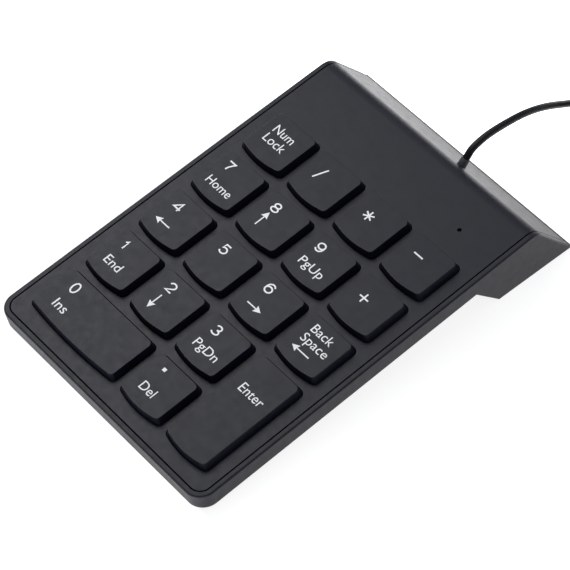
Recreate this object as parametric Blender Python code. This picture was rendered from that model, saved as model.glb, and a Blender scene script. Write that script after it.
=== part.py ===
"""Slim corded numeric keypad: 18 sprung keys in a wedge-shaped case, with its cord coiled behind it.

Units are metres and +Z is up. The case is modelled in the frame of its deck, the flat top face that
the keys stand on: x right, y to the back, z out of the deck. An empty tilts that frame towards the user.
The origin is on the table, under the middle of the case.
"""
import math

import bmesh
import bpy
from mathutils import Matrix, Vector

# ---- driving dimensions -------------------------------------------------------------------------
PITCH = 0.019               # key to key, both ways
COLUMNS = 4
TILT = math.radians(5.7)    # deck against the table
GAP = 0.0003                # between pieces that touch
THIN_GAP = 0.0001           # between the laminated sheets

CASE_HALF = 0.0426          # outer half width
CASE_FRONT = -0.0836        # front wall at its top
CASE_FRONT_FOOT = -0.0827   # front wall at its bottom, drawn in by the mould's draft
CASE_BACK = 0.0385          # back edge of the deck
SLAB = 0.0060               # thickness of the slim front part
CORNER_R = 0.0052           # front corners in plan
EDGE_R = 0.0009             # rounding of the case's top edge
FLOOR = 0.0011              # slab floor
WALL = 0.00147              # side walls, which show as the rim round the deck
RISER_START = 0.0154        # where the underside turns down
RISER_LEAN = 0.755          # riser front: run over drop
BACK_LEAN = 0.6856          # back face: run over drop
RISER_FLOOR = 0.0011
FOOT_PROUD = 0.0008         # rubber feet below the case

DECK = 0.0011               # top cover's thickness
BACK_SKIN = 0.0013          # top cover's sloped back face
BEND_R = 0.0060             # outer radius where the deck turns down into the back face
BEND_STEPS = 6
FRONT_EXTRA = 0.0002        # front wall's extra thickness over the side walls
REAR_LIP = 0.0024           # side walls end this far up from the back face's foot
RISER_SKIN = 0.0012         # riser's front wall, measured along the deck
CASE_SMOOTH = 35.0          # degrees under which faces meet smoothly, on the case,
SMOOTH = 40.0               # on small parts,
ROUND_SMOOTH = 50.0         # and on round ones
CUT_PAST = 0.003            # cutters run this far past a skin
ROW_Y = 0.007275            # middle of the first key row
CAP_HALF = 0.0083           # cap at deck level, half width
CAP_GAP = 0.0004            # cap to its opening
CAP_RISE = 0.0025           # cap top above the deck
CAP_INSET = 0.0008          # side and back walls lean in by this
CAP_FRONT_INSET = 0.0002
CAP_BOW = 0.0008            # front edge bows out by this
CAP_ROOF = 0.0010
CAP_SKIN = 0.0010
CAP_EDGE = 0.00025          # chamfer round the top face
CAP_BASE_R = 0.0015         # corner radii in plan: at deck level,
CAP_TOP_R = 0.0014          # at the top of the walls,
CAP_CROWN_R = 0.0013        # round the top face,
CAP_INNER_R = 0.0010        # inside,
FLANGE_R = 0.0012           # round the flange,
OPENING_R = 0.0017          # and of the opening in the deck
CEILING_SHRINK = 0.93       # the inside narrows to this share under the roof
TRAVEL = 0.0017             # key stroke
FLANGE_OUT = 0.0010         # retaining flange beyond the cap's wall
FLANGE_TOP = -0.0014
FLANGE_THICK = 0.00055
PLUNGER_R = 0.0018
PLUNGER_END = -0.00125

DOME_R = 0.0042
DOME_FOOT = -0.00368
DOME_TOP = -0.00132
DOME_HEAD_R = 0.0020
DOME_WAIST_R = 0.0034       # cone's foot, outside
DOME_BORE_R = 0.0030        # cone's foot, inside
DOME_BORE_TOP_R = 0.0015
DOME_SKIN = 0.0008          # head's thickness
DOME_RIM = 0.0003           # foot ring's thickness
DOME_EDGE = 0.0004          # head's rounding, and the step from the foot ring to the cone
DOME_SIDES = 12
SHEET = 0.0001              # each membrane sheet
PLATE = 0.0004              # steel backing plate

WIRE_R = 0.0004             # stabiliser wire
WIRE_ARM = 0.008
WIRE_PIVOT = -0.0032        # height of the wire's hinge line
WIRE_OFFSET = 0.0058        # hinge line from the key's middle
WIRE_SPAN = 0.012           # arms from the key's middle
WIRE_HOOK = 0.0022
WIRE_SPARE = 0.00005        # wire's hooks stand this much above their pressed place
LUG_SLOT = 0.0007           # half of the slot between a lug's two prongs
LUG_PRONG = 0.0008
LUG_NEAR = 0.0007           # lug from the wire's arm
LUG_THICK = 0.0010
LUG_END = -0.0016
LUG_ROOT = 0.0003           # how far a lug runs into the roof that it is moulded on

SCREW_X = 0.030
SCREW_Y = 0.0330
SCREW_HEAD_R = 0.0020
SCREW_HEAD = 0.0014         # head's thickness
SCREW_R = 0.0010
SCREW_LENGTH = 0.0080       # from under the head to the point
SCREW_POINT = 0.0010
SCREW_TIP_R = 0.0004
HEAD_CHAMFER_R = 0.0014
HEAD_CHAMFER = 0.0004
HEAD_SEAT = 0.0024          # head's seat above the underside plane
BOSS_R = 0.0038
BOSS_FOOT = 0.0008          # boss starts this far above the underside plane, inside the floor
BOSS_ROOF = 0.0016          # boss above the head's seat
POST_R = 0.0025
POST_ROOT = 0.0003          # how far a post runs into the cover that it is moulded on
POST_BORE = 0.0085          # bore's depth above the head's seat
ROUND_SIDES = 16

PLATE_SIDE = 0.0008         # laminated sheets to the case's side walls,
PLATE_FRONT = 0.0012        # to its front wall,
PLATE_BACK = 0.0008         # and past the start of the riser
PLATE_CORNER_R = 0.003
BOARD_TOP = -0.0058
BOARD_THICK = 0.0010
BOARD_LEFT = -0.024
BOARD_RIGHT = 0.033
BOARD_FRONT = 0.0192
BOARD_BACK = 0.0290
CHIP_LEFT = -0.006
CHIP_RIGHT = 0.004
CHIP_FRONT = 0.0205
CHIP_BACK = 0.0275
CHIP_THICK = 0.0016
LED_X = 0.0270
LED_Y = 0.0240
LED_HOLE_R = 0.0006
LED_FLANGE_R = 0.0016
LED_FLANGE = 0.0004
LED_R = 0.0014
LED_SHOULDER = -0.0027      # top of the lamp's straight side
LED_TOP = -0.0015
LED_DOME = 0.0004           # height of the lamp's upper facet
LED_DOME_R = 0.0011
LED_TIP_R = 0.0005

FOOT_R = 0.0040
FOOT_EDGE = 0.0004
FOOT_RECESS = 0.0005
FOOT_SIDES = 20
FRONT_FOOT_Y = -0.0745
REAR_FOOT_Y = 0.0420
FOOT_X = 0.0335

CORD_D = 0.0022
CORD_X = 0.0088             # cord's place across the back face
RELIEF_RISE = math.radians(50.0)
RELIEF_LENGTH = 0.0035
RELIEF_R = 0.0016
RELIEF_TIP_R = 0.0013
RELIEF_COLLAR = 0.0006      # straight stretch outside the back face
RELIEF_FLANGE_R = 0.0024    # flange inside the back face
RELIEF_FLANGE = 0.0010
RELIEF_FLANGE_GAP = 0.0006
BACK_EXIT = 0.0062          # cord's hole below the deck's back edge, down the slope
CORD_POINT = 2.4 * CORD_D   # spacing of the cord's points
TAIL_POINT = 2.2 * CORD_D
COIL_COLUMNS = 4
COIL_LAYERS = 4
COIL_MEAN_R = 5.55 * CORD_D
COIL_LIFT = 0.0008          # the tie passes under the turns
COIL_CHAMFER = 0.0006
COIL_SIDES = 36
TIE_BAND = 0.0005
TIE_HALF = 0.0020
TAIL_DROP = 0.0006          # the coil's last turn starts to fall towards the table

PLUG_HALF_X = 0.0078
PLUG_HALF_Z = 0.0040
PLUG_CORNER = 0.0020
PLUG_LENGTH = 0.0295
PLUG_BODY_END = 0.0285      # where the grip's far edge is rounded off
PLUG_EDGE = 0.0006
BOOT_ROOT = 0.0017          # half width of the plug's boot at the cord,
BOOT_TIP = 0.0026           # and at the grip
BOOT_LENGTH = 0.0075
ALMOST_ROUND = 0.96         # corner radius of the boot's section by its half width
SHOULDER_Y = 0.0095
SHOULDER_HALF_X = 0.0062
SHOULDER_HALF_Z = 0.0034
SHOULDER_END = 0.0120
SHELL_HALF_X = 0.0060
SHELL_HALF_Z = 0.00225
SHELL_SKIN = 0.0004
SHELL_LENGTH = 0.0120
SHELL_FLOOR = 0.0010
SHELL_CORNER = 0.0005
SHELL_INNER_CORNER = 0.0003

# ---- derived ------------------------------------------------------------------------------------
SIN, COS, TAN = math.sin(TILT), math.cos(TILT), math.tan(TILT)


def rotated(y, z):
    """Deck y, z in the upright frame, before the deck's own place is added."""
    return y * COS - z * SIN, y * SIN + z * COS


DECK_Z = FOOT_PROUD - rotated(CASE_FRONT_FOOT, -SLAB)[1]
UNDER = (FOOT_PROUD - DECK_Z) / COS     # deck z of the case's underside plane at y = 0


def meet_underside(y, z, lean):
    """Where a wall that starts at y, z and leans back meets the underside plane."""
    end_y = (y + lean * (z - UNDER)) / (1.0 - lean * TAN)
    return end_y, UNDER - end_y * TAN


RISER_FOOT = meet_underside(RISER_START, -SLAB, RISER_LEAN)
BACK_FOOT = meet_underside(CASE_BACK, 0.0, BACK_LEAN)
DECK_Y = -(rotated(CASE_FRONT, -EDGE_R)[0] + rotated(*BACK_FOOT)[0]) / 2.0
BACK_DIR = Vector((0.0, BACK_LEAN, -1.0)).normalized()
BACK_NORMAL = Vector((0.0, 1.0, BACK_LEAN)).normalized()
BACK_CLIMB = -rotated(BACK_DIR.y, BACK_DIR.z)[1]        # height won per length up the back face
NORMAL_CLIMB = rotated(BACK_NORMAL.y, BACK_NORMAL.z)[1]

ROW_NAMES = (
    ("key_num_lock", "key_divide", "key_multiply", "key_minus"),
    ("key_7", "key_8", "key_9", "key_plus"),
    ("key_4", "key_5", "key_6", "key_backspace"),
    ("key_1", "key_2", "key_3", None),
    (None, None, "key_decimal", None),
)
WIDE_KEY = "key_0"          # two columns wide
TALL_KEY = "key_enter"      # two rows high

# ---- scene and materials ------------------------------------------------------------------------


def clear_scene():
    for item in list(bpy.data.objects):
        bpy.data.objects.remove(item, do_unlink=True)


def material(name, color, roughness, metallic=0.0):
    mat = bpy.data.materials.new(name)
    mat.use_nodes = True
    shader = mat.node_tree.nodes["Principled BSDF"]
    shader.inputs["Base Color"].default_value = (*color, 1.0)
    shader.inputs["Roughness"].default_value = roughness
    shader.inputs["Metallic"].default_value = metallic
    return mat


def add_object(name, mesh, mat, parent=None, location=(0.0, 0.0, 0.0)):
    item = bpy.data.objects.new(name, mesh)
    bpy.context.scene.collection.objects.link(item)
    item.parent = parent
    item.location = location
    if mat is not None and not mesh.materials:
        mesh.materials.append(mat)
    return item


def add_guide(name, mesh, parent=None, location=(0.0, 0.0, 0.0)):
    """A cutter or a piece to be joined on, which isn't a part of its own."""
    item = add_object(name, mesh, None, parent, location)
    item.hide_render = True
    item.display_type = "WIRE"
    return item


def boolean(item, other, operation):
    step = item.modifiers.new(other.name, "BOOLEAN")
    step.operation = operation
    step.solver = "EXACT"
    step.object = other


def finish_mesh(name, bm, smooth_angle=None):
    bmesh.ops.recalc_face_normals(bm, faces=bm.faces)
    mesh = bpy.data.meshes.new(name)
    bm.to_mesh(mesh)
    bm.free()
    if smooth_angle is not None:
        mesh.shade_smooth()
        mesh.set_sharp_from_angle(angle=math.radians(smooth_angle))
    return mesh


# ---- shape helpers ------------------------------------------------------------------------------


def arc(cx, cy, radius, start, end, steps):
    """Points along an arc, angles in degrees, both ends included."""
    return [
        (cx + radius * math.cos(math.radians(start + (end - start) * i / steps)),
         cy + radius * math.sin(math.radians(start + (end - start) * i / steps)))
        for i in range(steps + 1)
    ]


def circle(radius, sides, cx=0.0, cy=0.0):
    return arc(cx, cy, radius, 0.0, 360.0 * (sides - 1) / sides, sides - 1)


def key_outline(half_x, back, front, bow, radius):
    """Closed outline of a key: straight sides, rounded corners and a front edge that bows out."""
    steps = 2
    bow_steps = 5
    points = arc(half_x - radius, back - radius, radius, 0.0, 90.0, steps)
    points += arc(radius - half_x, back - radius, radius, 90.0, 180.0, steps)
    points += arc(radius - half_x, front + bow + radius, radius, 180.0, 262.0, steps)
    reach = half_x - radius
    for i in range(1, bow_steps):
        x = -reach + 2.0 * reach * i / bow_steps
        points.append((x, front + bow * (x / reach) ** 2))
    points += arc(half_x - radius, front + bow + radius, radius, 278.0, 360.0, steps)
    return points


def level(outline, z):
    return [(x, y, z) for x, y in outline]


def add_ring_solid(bm, rings):
    """A closed solid from rings with equal counts, capped at the first and the last ring."""
    loops = [[bm.verts.new(point) for point in ring] for ring in rings]
    count = len(loops[0])
    for low, high in zip(loops, loops[1:]):
        for i in range(count):
            j = (i + 1) % count
            bm.faces.new((low[i], low[j], high[j], high[i]))
    bm.faces.new(loops[0])
    bm.faces.new(list(reversed(loops[-1])))


def ring_mesh(name, rings, smooth_angle=None):
    bm = bmesh.new()
    add_ring_solid(bm, rings)
    return finish_mesh(name, bm, smooth_angle)


def turned_rings(profile, sides):
    return [level(circle(radius, sides), z) for radius, z in profile]


def add_box(bm, low, high):
    size = Vector(high) - Vector(low)
    middle = (Vector(high) + Vector(low)) / 2.0
    matrix = Matrix.Translation(middle) @ Matrix.Diagonal((*size, 1.0))
    bmesh.ops.create_cube(bm, size=1.0, matrix=matrix)


def box_mesh(name, boxes):
    bm = bmesh.new()
    for low, high in boxes:
        add_box(bm, low, high)
    return finish_mesh(name, bm)


# ---- the case -----------------------------------------------------------------------------------


def corner_path(half, front, radius, steps=6):
    """Right half of the plan outline from the front edge round its corner."""
    return arc(half - radius, front + radius, radius, -90.0, 0.0, steps)


def on_back(distance_up, lift=0.0):
    """Deck y, z of a point on the back face, measured up the slope from its foot."""
    point = Vector((0.0, *BACK_FOOT)) - BACK_DIR * distance_up - BACK_NORMAL * lift
    return point.y, point.z


def back_at_height(height, lift=0.0):
    """Deck y, z of a point on the back face, or under it by lift, by its height over the underside."""
    return on_back((height + lift * NORMAL_CLIMB) / BACK_CLIMB, lift)


def bend_points(lift=0.0):
    """Deck y, z along the rounded back edge, at a depth of lift under the skin."""
    turn = math.atan2(1.0, BACK_LEAN)
    center_y = CASE_BACK - BEND_R * math.tan(turn / 2.0)
    points = []
    for i in range(BEND_STEPS + 1):
        angle = turn * i / BEND_STEPS
        reach = BEND_R - lift
        points.append((center_y + reach * math.sin(angle), reach * math.cos(angle) - BEND_R))
    return points


def case_rings():
    """The case's rings from its outer foot, over the rim, to the inner floor, right half of each."""

    def wall_ring(half, front, radius, drop):
        path = [(x, y, -drop) for x, y in corner_path(half, front, radius)]
        path += [(half, RISER_START, -drop), (half, RISER_FOOT[0], -drop)]
        path += [(half, y, z) for y, z in bend_points(drop)]
        return path + [(half, *on_back(REAR_LIP, drop))]

    def along_riser(half, start_y, end_y, lift):
        """Points over the riser's underside, as many as a wall ring has there."""
        steps = BEND_STEPS + 2
        ys = [start_y + (end_y - start_y) * i / steps for i in range(steps + 1)]
        return [(half, y, UNDER - y * TAN + lift) for y in ys]

    foot = [(x, y, -SLAB) for x, y in corner_path(CASE_HALF, CASE_FRONT_FOOT, CORNER_R)]
    foot.append((CASE_HALF, RISER_START, -SLAB))
    foot += along_riser(CASE_HALF, RISER_FOOT[0], BACK_FOOT[0], 0.0)

    rings = [foot]
    for i in range(4):
        turn = math.radians(90.0 * i / 3.0)
        inset = EDGE_R * (1.0 - math.cos(turn))
        drop = EDGE_R * (1.0 - math.sin(turn))
        rings.append(wall_ring(CASE_HALF - inset, CASE_FRONT + inset, CORNER_R - inset, drop))
    inner_half = CASE_HALF - WALL
    inner_front = CASE_FRONT + WALL + FRONT_EXTRA
    rings.append(wall_ring(inner_half, inner_front, CORNER_R - WALL, 0.0))

    floor_z = -SLAB + FLOOR
    floor = [(x, y, floor_z) for x, y in corner_path(inner_half, inner_front, CORNER_R - WALL)]
    floor.append((inner_half, RISER_START + RISER_SKIN, floor_z))
    floor += along_riser(inner_half, RISER_FOOT[0] + RISER_SKIN, back_at_height(RISER_FLOOR)[0], RISER_FLOOR)
    rings.append(floor)
    return rings


def case_mesh():
    bm = bmesh.new()
    right = [[bm.verts.new(p) for p in ring] for ring in case_rings()]
    left = [[bm.verts.new((-v.co.x, v.co.y, v.co.z)) for v in ring] for ring in right]
    for r_low, r_high, l_low, l_high in zip(right, right[1:], left, left[1:]):
        for i in range(len(r_low) - 1):
            bm.faces.new((r_low[i], r_low[i + 1], r_high[i + 1], r_high[i]))
            bm.faces.new((l_low[i + 1], l_low[i], l_high[i], l_high[i + 1]))
        bm.faces.new((l_low[0], r_low[0], r_high[0], l_high[0]))
    for index in (0, len(right) - 1):
        for i in range(len(right[0]) - 1):
            quad = (right[index][i], left[index][i], left[index][i + 1], right[index][i + 1])
            bm.faces.new(quad)
    bm.faces.new([ring[-1] for ring in right] + [ring[-1] for ring in reversed(left)])
    bmesh.ops.triangulate(bm, faces=bm.faces)
    return finish_mesh("bottom_case", bm, CASE_SMOOTH)


def cover_mesh():
    """The deck and the sloped back face in one moulding, a constant skin along the side profile."""
    half = CASE_HALF - WALL - GAP
    front = CASE_FRONT + WALL + FRONT_EXTRA + GAP
    plan = corner_path(half, front, CORNER_R - WALL - GAP)
    outer = [(x, y, 0.0) for x, y in plan] + [(half, y, z) for y, z in bend_points()]
    inner = [(x, y, -DECK) for x, y in plan] + [(half, y, z) for y, z in bend_points(DECK)]
    outer.append((half, *back_at_height(RISER_FLOOR + GAP)))
    inner.append((half, *back_at_height(RISER_FLOOR + GAP, BACK_SKIN)))
    bm = bmesh.new()
    rings = [[bm.verts.new(p) for p in ring] for ring in (outer, inner)]
    mirror = [[bm.verts.new((-v.co.x, v.co.y, v.co.z)) for v in ring] for ring in rings]
    for index in (0, 1):
        for i in range(len(outer) - 1):
            a, b = rings[index], mirror[index]
            bm.faces.new((a[i], b[i], b[i + 1], a[i + 1]))
    for side in (rings, mirror):
        for i in range(len(outer) - 1):
            bm.faces.new((side[0][i], side[0][i + 1], side[1][i + 1], side[1][i]))
    for i in (0, -1):
        bm.faces.new((rings[0][i], mirror[0][i], mirror[1][i], rings[1][i]))
    return finish_mesh("top_cover", bm, CASE_SMOOTH)


# ---- keys ---------------------------------------------------------------------------------------


def key_places():
    """Name, middle x, middle y, extra half width and extra half depth of each key."""
    places = []
    for row, names in enumerate(ROW_NAMES):
        for column, name in enumerate(names):
            if name:
                x = (column - (COLUMNS - 1) / 2.0) * PITCH
                places.append((name, x, ROW_Y - row * PITCH, 0.0, 0.0))
    half = PITCH / 2.0
    places.append((WIDE_KEY, -PITCH, ROW_Y - 4.0 * PITCH, half, 0.0))
    places.append((TALL_KEY, 1.5 * PITCH, ROW_Y - 3.5 * PITCH, 0.0, half))
    return places


def cap_outline(extra_x, extra_y, grow, radius):
    """Outline at deck level, grown outwards all round."""
    half_x = CAP_HALF + extra_x + grow
    half_y = CAP_HALF + extra_y + grow
    return key_outline(half_x, half_y, -half_y, CAP_BOW, radius)


def cap_mesh(name, extra_x, extra_y):
    base = cap_outline(extra_x, extra_y, 0.0, CAP_BASE_R)
    half_x = CAP_HALF + extra_x - CAP_INSET
    back = CAP_HALF + extra_y - CAP_INSET
    front = -(CAP_HALF + extra_y - CAP_FRONT_INSET)
    top = key_outline(half_x, back, front, CAP_BOW, CAP_TOP_R)
    crown = key_outline(half_x - CAP_EDGE, back - CAP_EDGE, front + CAP_EDGE, CAP_BOW, CAP_CROWN_R)
    flange = cap_outline(extra_x, extra_y, FLANGE_OUT, FLANGE_R)
    inside = cap_outline(extra_x, extra_y, -CAP_SKIN, CAP_INNER_R)
    reach_x = CAP_HALF + extra_x - CAP_SKIN
    reach_y = CAP_HALF + extra_y - CAP_SKIN
    stem = []
    for x, y in inside:
        angle = math.atan2(y / reach_y, x / reach_x)
        stem.append((PLUNGER_R * math.cos(angle), PLUNGER_R * math.sin(angle)))
    ceiling = CAP_RISE - CAP_ROOF
    rings = [
        level(crown, CAP_RISE),
        level(top, CAP_RISE - CAP_EDGE),
        level(base, 0.0),
        level(base, FLANGE_TOP),
        level(flange, FLANGE_TOP),
        level(flange, FLANGE_TOP - FLANGE_THICK),
        level(inside, FLANGE_TOP - FLANGE_THICK),
        level(inside, 0.0),
        level([(x * CEILING_SHRINK, y * CEILING_SHRINK) for x, y in inside], ceiling),
        level(stem, ceiling),
        level(stem, PLUNGER_END),
    ]
    return ring_mesh(name, rings, SMOOTH)


def dome_mesh():
    """Silicone cup: a foot ring, a conical wall and a flat head, open underneath."""
    height = DOME_TOP - DOME_FOOT
    profile = [
        (DOME_HEAD_R - DOME_EDGE / 2.0, height),
        (DOME_HEAD_R, height - DOME_EDGE),
        (DOME_WAIST_R, DOME_EDGE),
        (DOME_R, DOME_RIM),
        (DOME_R, 0.0),
        (DOME_BORE_R, 0.0),
        (DOME_BORE_TOP_R, height - DOME_SKIN),
    ]
    return ring_mesh("rubber_dome", turned_rings(profile, DOME_SIDES), ROUND_SMOOTH)


def lug_boxes(along_x):
    """Two forked lugs under a long key's roof, which take the stabiliser's hooks."""
    tip = WIRE_OFFSET - WIRE_ARM
    boxes = []
    for side in (-1.0, 1.0):
        near = side * (WIRE_SPAN + LUG_NEAR)
        far = side * (WIRE_SPAN + LUG_NEAR + LUG_THICK)
        for edge in (-LUG_SLOT - LUG_PRONG, LUG_SLOT):
            low = [min(near, far), tip + edge, LUG_END]
            high = [max(near, far), tip + edge + LUG_PRONG, CAP_RISE - CAP_ROOF + LUG_ROOT]
            if not along_x:
                low[0], low[1] = low[1], low[0]
                high[0], high[1] = high[1], high[0]
            boxes.append((low, high))
    return boxes


def stabiliser_mesh(name, along_x):
    """A bent wire: hinge leg, two arms and two hooks that point outwards, hinge leg on the origin."""
    lift = math.asin((TRAVEL + WIRE_SPARE) / WIRE_ARM)
    reach = WIRE_ARM * math.cos(lift)
    rise = WIRE_ARM * math.sin(lift)
    path = [
        (-WIRE_SPAN - WIRE_HOOK, -reach, rise),
        (-WIRE_SPAN, -reach, rise),
        (-WIRE_SPAN, 0.0, 0.0),
        (WIRE_SPAN, 0.0, 0.0),
        (WIRE_SPAN, -reach, rise),
        (WIRE_SPAN + WIRE_HOOK, -reach, rise),
    ]
    if not along_x:
        path = [(y, x, z) for x, y, z in path]
    return tube_mesh(name, [Vector(p) for p in path], WIRE_R)


def tube_mesh(name, path, radius, sides=8):
    """A round tube with mitred corners: each ring is the one before, carried along the run between."""
    runs = [(b - a).normalized() for a, b in zip(path, path[1:])]
    side = Vector((0.0, 0.0, 1.0)).cross(runs[0])
    up = runs[0].cross(side)
    ring = []
    for k in range(sides):
        angle = 2.0 * math.pi * (k + 0.5) / sides
        ring.append(path[0] + (side * math.cos(angle) + up * math.sin(angle)) * radius)
    rings = [ring]
    for i, run in enumerate(runs):
        point = path[i + 1]
        mitre = run + runs[min(i + 1, len(runs) - 1)]
        ring = [spot + run * ((point - spot).dot(mitre) / run.dot(mitre)) for spot in ring]
        rings.append(ring)
    return ring_mesh(name, rings, ROUND_SMOOTH)


# ---- cord ---------------------------------------------------------------------------------------


def smooth_curve(points, steps):
    """Points on a smooth curve through the given ones (Catmull-Rom)."""
    line = [points[0] * 2.0 - points[1], *points, points[-1] * 2.0 - points[-2]]
    out = []
    for a, b, c, d in zip(line, line[1:], line[2:], line[3:]):
        for i in range(steps):
            t = i / steps
            out.append(0.5 * (2.0 * b + (c - a) * t + (2.0 * a - 5.0 * b + 4.0 * c - d) * t * t
                              + (3.0 * b - a - 3.0 * c + d) * t ** 3))
    out.append(points[-1])
    return out


def resample(points, spacing):
    """Points an equal way apart along a path, ends kept."""
    total = sum((b - a).length for a, b in zip(points, points[1:]))
    count = max(2, round(total / spacing))
    out = [points[0]]
    walked = 0.0
    for a, b in zip(points, points[1:]):
        step = (b - a).length
        while len(out) < count and walked + step >= total * len(out) / count:
            out.append(a.lerp(b, (total * len(out) / count - walked) / step))
        walked += step
    out.append(points[-1])
    return out


def cord_object(name, points, mat):
    curve = bpy.data.curves.new(name, "CURVE")
    curve.dimensions = "3D"
    curve.bevel_depth = CORD_D / 2.0
    curve.bevel_resolution = 2
    curve.use_fill_caps = True
    spline = curve.splines.new("POLY")
    spline.points.add(len(points) - 1)
    for slot, point in zip(spline.points, points):
        slot.co = (*point, 1.0)
    item = bpy.data.objects.new(name, curve)
    bpy.context.scene.collection.objects.link(item)
    curve.materials.append(mat)
    return item


# ---- groups of parts ----------------------------------------------------------------------------


def under_z(y):
    """Deck z of the case's underside plane."""
    return UNDER - y * TAN


def build_case(deck, case_mat, cover_mat, steel):
    case = add_object("bottom_case", case_mesh(), case_mat, deck)
    cover = add_object("top_cover", cover_mesh(), cover_mat, deck)

    bosses, holes, posts, bores = bmesh.new(), bmesh.new(), bmesh.new(), bmesh.new()
    seat = under_z(SCREW_Y) + HEAD_SEAT
    for x in (-SCREW_X, SCREW_X):
        low = under_z(SCREW_Y) + BOSS_FOOT
        boss = circle(BOSS_R, ROUND_SIDES, x, SCREW_Y)
        add_ring_solid(bosses, [level(boss, low), level(boss, seat + BOSS_ROOF)])
        head = circle(SCREW_HEAD_R + GAP, ROUND_SIDES, x, SCREW_Y)
        shaft = circle(SCREW_R + GAP, ROUND_SIDES, x, SCREW_Y)
        add_ring_solid(holes, [level(head, low - CUT_PAST), level(head, seat), level(shaft, seat),
                               level(shaft, seat + CUT_PAST)])
        post = circle(POST_R, ROUND_SIDES, x, SCREW_Y)
        add_ring_solid(posts, [level(post, seat + BOSS_ROOF + GAP), level(post, -DECK + POST_ROOT)])
        add_ring_solid(bores, [level(shaft, seat), level(shaft, seat + POST_BORE)])
    boss_guide = add_guide("screw_bosses", finish_mesh("screw_bosses", bosses), deck)
    hole_guide = add_guide("screw_holes", finish_mesh("screw_holes", holes), deck)
    boolean(case, boss_guide, "UNION")
    boolean(case, hole_guide, "DIFFERENCE")
    recesses = bmesh.new()
    for x, y, _top in foot_places():
        outline = circle(FOOT_R + GAP, FOOT_SIDES, x, y)
        add_ring_solid(recesses, [level(outline, -CUT_PAST), level(outline, foot_seat(y) + GAP)])
    boolean(case, add_guide("foot_recesses", finish_mesh("foot_recesses", recesses)), "DIFFERENCE")

    openings = bmesh.new()
    for _name, x, y, extra_x, extra_y in key_places():
        outline = [(x + px, y + py) for px, py in cap_outline(extra_x, extra_y, CAP_GAP, OPENING_R)]
        add_ring_solid(openings, [level(outline, CUT_PAST), level(outline, -CUT_PAST)])
    led_hole = circle(LED_HOLE_R, 10, LED_X, LED_Y)
    add_ring_solid(openings, [level(led_hole, CUT_PAST), level(led_hole, -CUT_PAST)])
    boolean(cover, add_guide("key_openings", finish_mesh("key_openings", openings), deck), "DIFFERENCE")
    boolean(cover, add_guide("cover_posts", finish_mesh("cover_posts", posts), deck), "UNION")
    boolean(cover, add_guide("post_bores", finish_mesh("post_bores", bores), deck), "DIFFERENCE")
    bore = turned_rings([(RELIEF_R + GAP, -CUT_PAST), (RELIEF_R + GAP, CUT_PAST)], ROUND_SIDES)
    hole = add_guide("cord_hole", ring_mesh("cord_hole", bore))
    hole.matrix_world = relief_matrix()
    boolean(cover, hole, "DIFFERENCE")

    for number, x in enumerate((-SCREW_X, SCREW_X), 1):
        head_low = seat - SCREW_HEAD
        profile = [(HEAD_CHAMFER_R, head_low), (SCREW_HEAD_R, head_low + HEAD_CHAMFER),
                   (SCREW_HEAD_R, seat - GAP), (SCREW_R, seat - GAP),
                   (SCREW_R, seat + SCREW_LENGTH - SCREW_POINT), (SCREW_TIP_R, seat + SCREW_LENGTH)]
        screw = ring_mesh(f"case_screw_{number}", turned_rings(profile, 12), SMOOTH)
        add_object(f"case_screw_{number}", screw, steel, deck, (x, SCREW_Y, 0.0))


def build_keys(deck, cap_mat, silicone, steel):
    single = cap_mesh("keycap", 0.0, 0.0)
    dome = dome_mesh()
    for name, x, y, extra_x, extra_y in key_places():
        mesh = single
        if extra_x or extra_y:
            mesh = cap_mesh(name, extra_x, extra_y)
        cap = add_object(name, mesh, cap_mat, deck, (x, y, 0.0))
        add_object(name.replace("key_", "dome_"), dome, silicone, deck, (x, y, DOME_FOOT))
        if extra_x or extra_y:
            lugs = box_mesh(name + "_lugs", lug_boxes(extra_x > 0.0))
            boolean(cap, add_guide(name + "_lugs", lugs, cap), "UNION")
            along_x = extra_x > 0.0
            pivot = (x, y + WIRE_OFFSET, WIRE_PIVOT) if along_x else (x + WIRE_OFFSET, y, WIRE_PIVOT)
            wire_name = name.replace("key_", "stabiliser_")
            add_object(wire_name, stabiliser_mesh(wire_name, along_x), steel, deck, pivot)


def build_inside(deck, film, steel, board_mat, chip_mat, led_mat):
    half = CASE_HALF - WALL - PLATE_SIDE
    front = CASE_FRONT + WALL + PLATE_FRONT
    back = RISER_START + PLATE_BACK
    right = corner_path(half, front, PLATE_CORNER_R, 3) + [(half, back)]
    plan = right + [(-x, y) for x, y in reversed(right)]
    bottom = -SLAB + FLOOR + THIN_GAP
    layers = [("backing_plate", PLATE, steel), ("membrane_lower", SHEET, film),
              ("membrane_spacer", SHEET, film), ("membrane_upper", SHEET, film)]
    for name, thickness, mat in layers:
        rings = [level(plan, bottom), level(plan, bottom + thickness)]
        add_object(name, ring_mesh(name, rings), mat, deck)
        bottom += thickness + THIN_GAP

    board = box_mesh("controller_board", [((BOARD_LEFT, BOARD_FRONT, BOARD_TOP - BOARD_THICK),
                                           (BOARD_RIGHT, BOARD_BACK, BOARD_TOP))])
    add_object("controller_board", board, board_mat, deck)
    mounted = BOARD_TOP + THIN_GAP
    chip = box_mesh("controller_chip", [((CHIP_LEFT, CHIP_FRONT, mounted),
                                         (CHIP_RIGHT, CHIP_BACK, mounted + CHIP_THICK))])
    add_object("controller_chip", chip, chip_mat, deck)
    profile = [(LED_FLANGE_R, mounted), (LED_FLANGE_R, mounted + LED_FLANGE), (LED_R, mounted + LED_FLANGE),
               (LED_R, LED_SHOULDER), (LED_DOME_R, LED_TOP - LED_DOME), (LED_TIP_R, LED_TOP)]
    lamp = ring_mesh("led_lamp", turned_rings(profile, 12), SMOOTH)
    add_object("led_lamp", lamp, led_mat, deck, (LED_X, LED_Y, 0.0))


def upright(y, z):
    """Deck y, z in the upright frame."""
    turned_y, turned_z = rotated(y, z)
    return turned_y + DECK_Y, turned_z + DECK_Z


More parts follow.
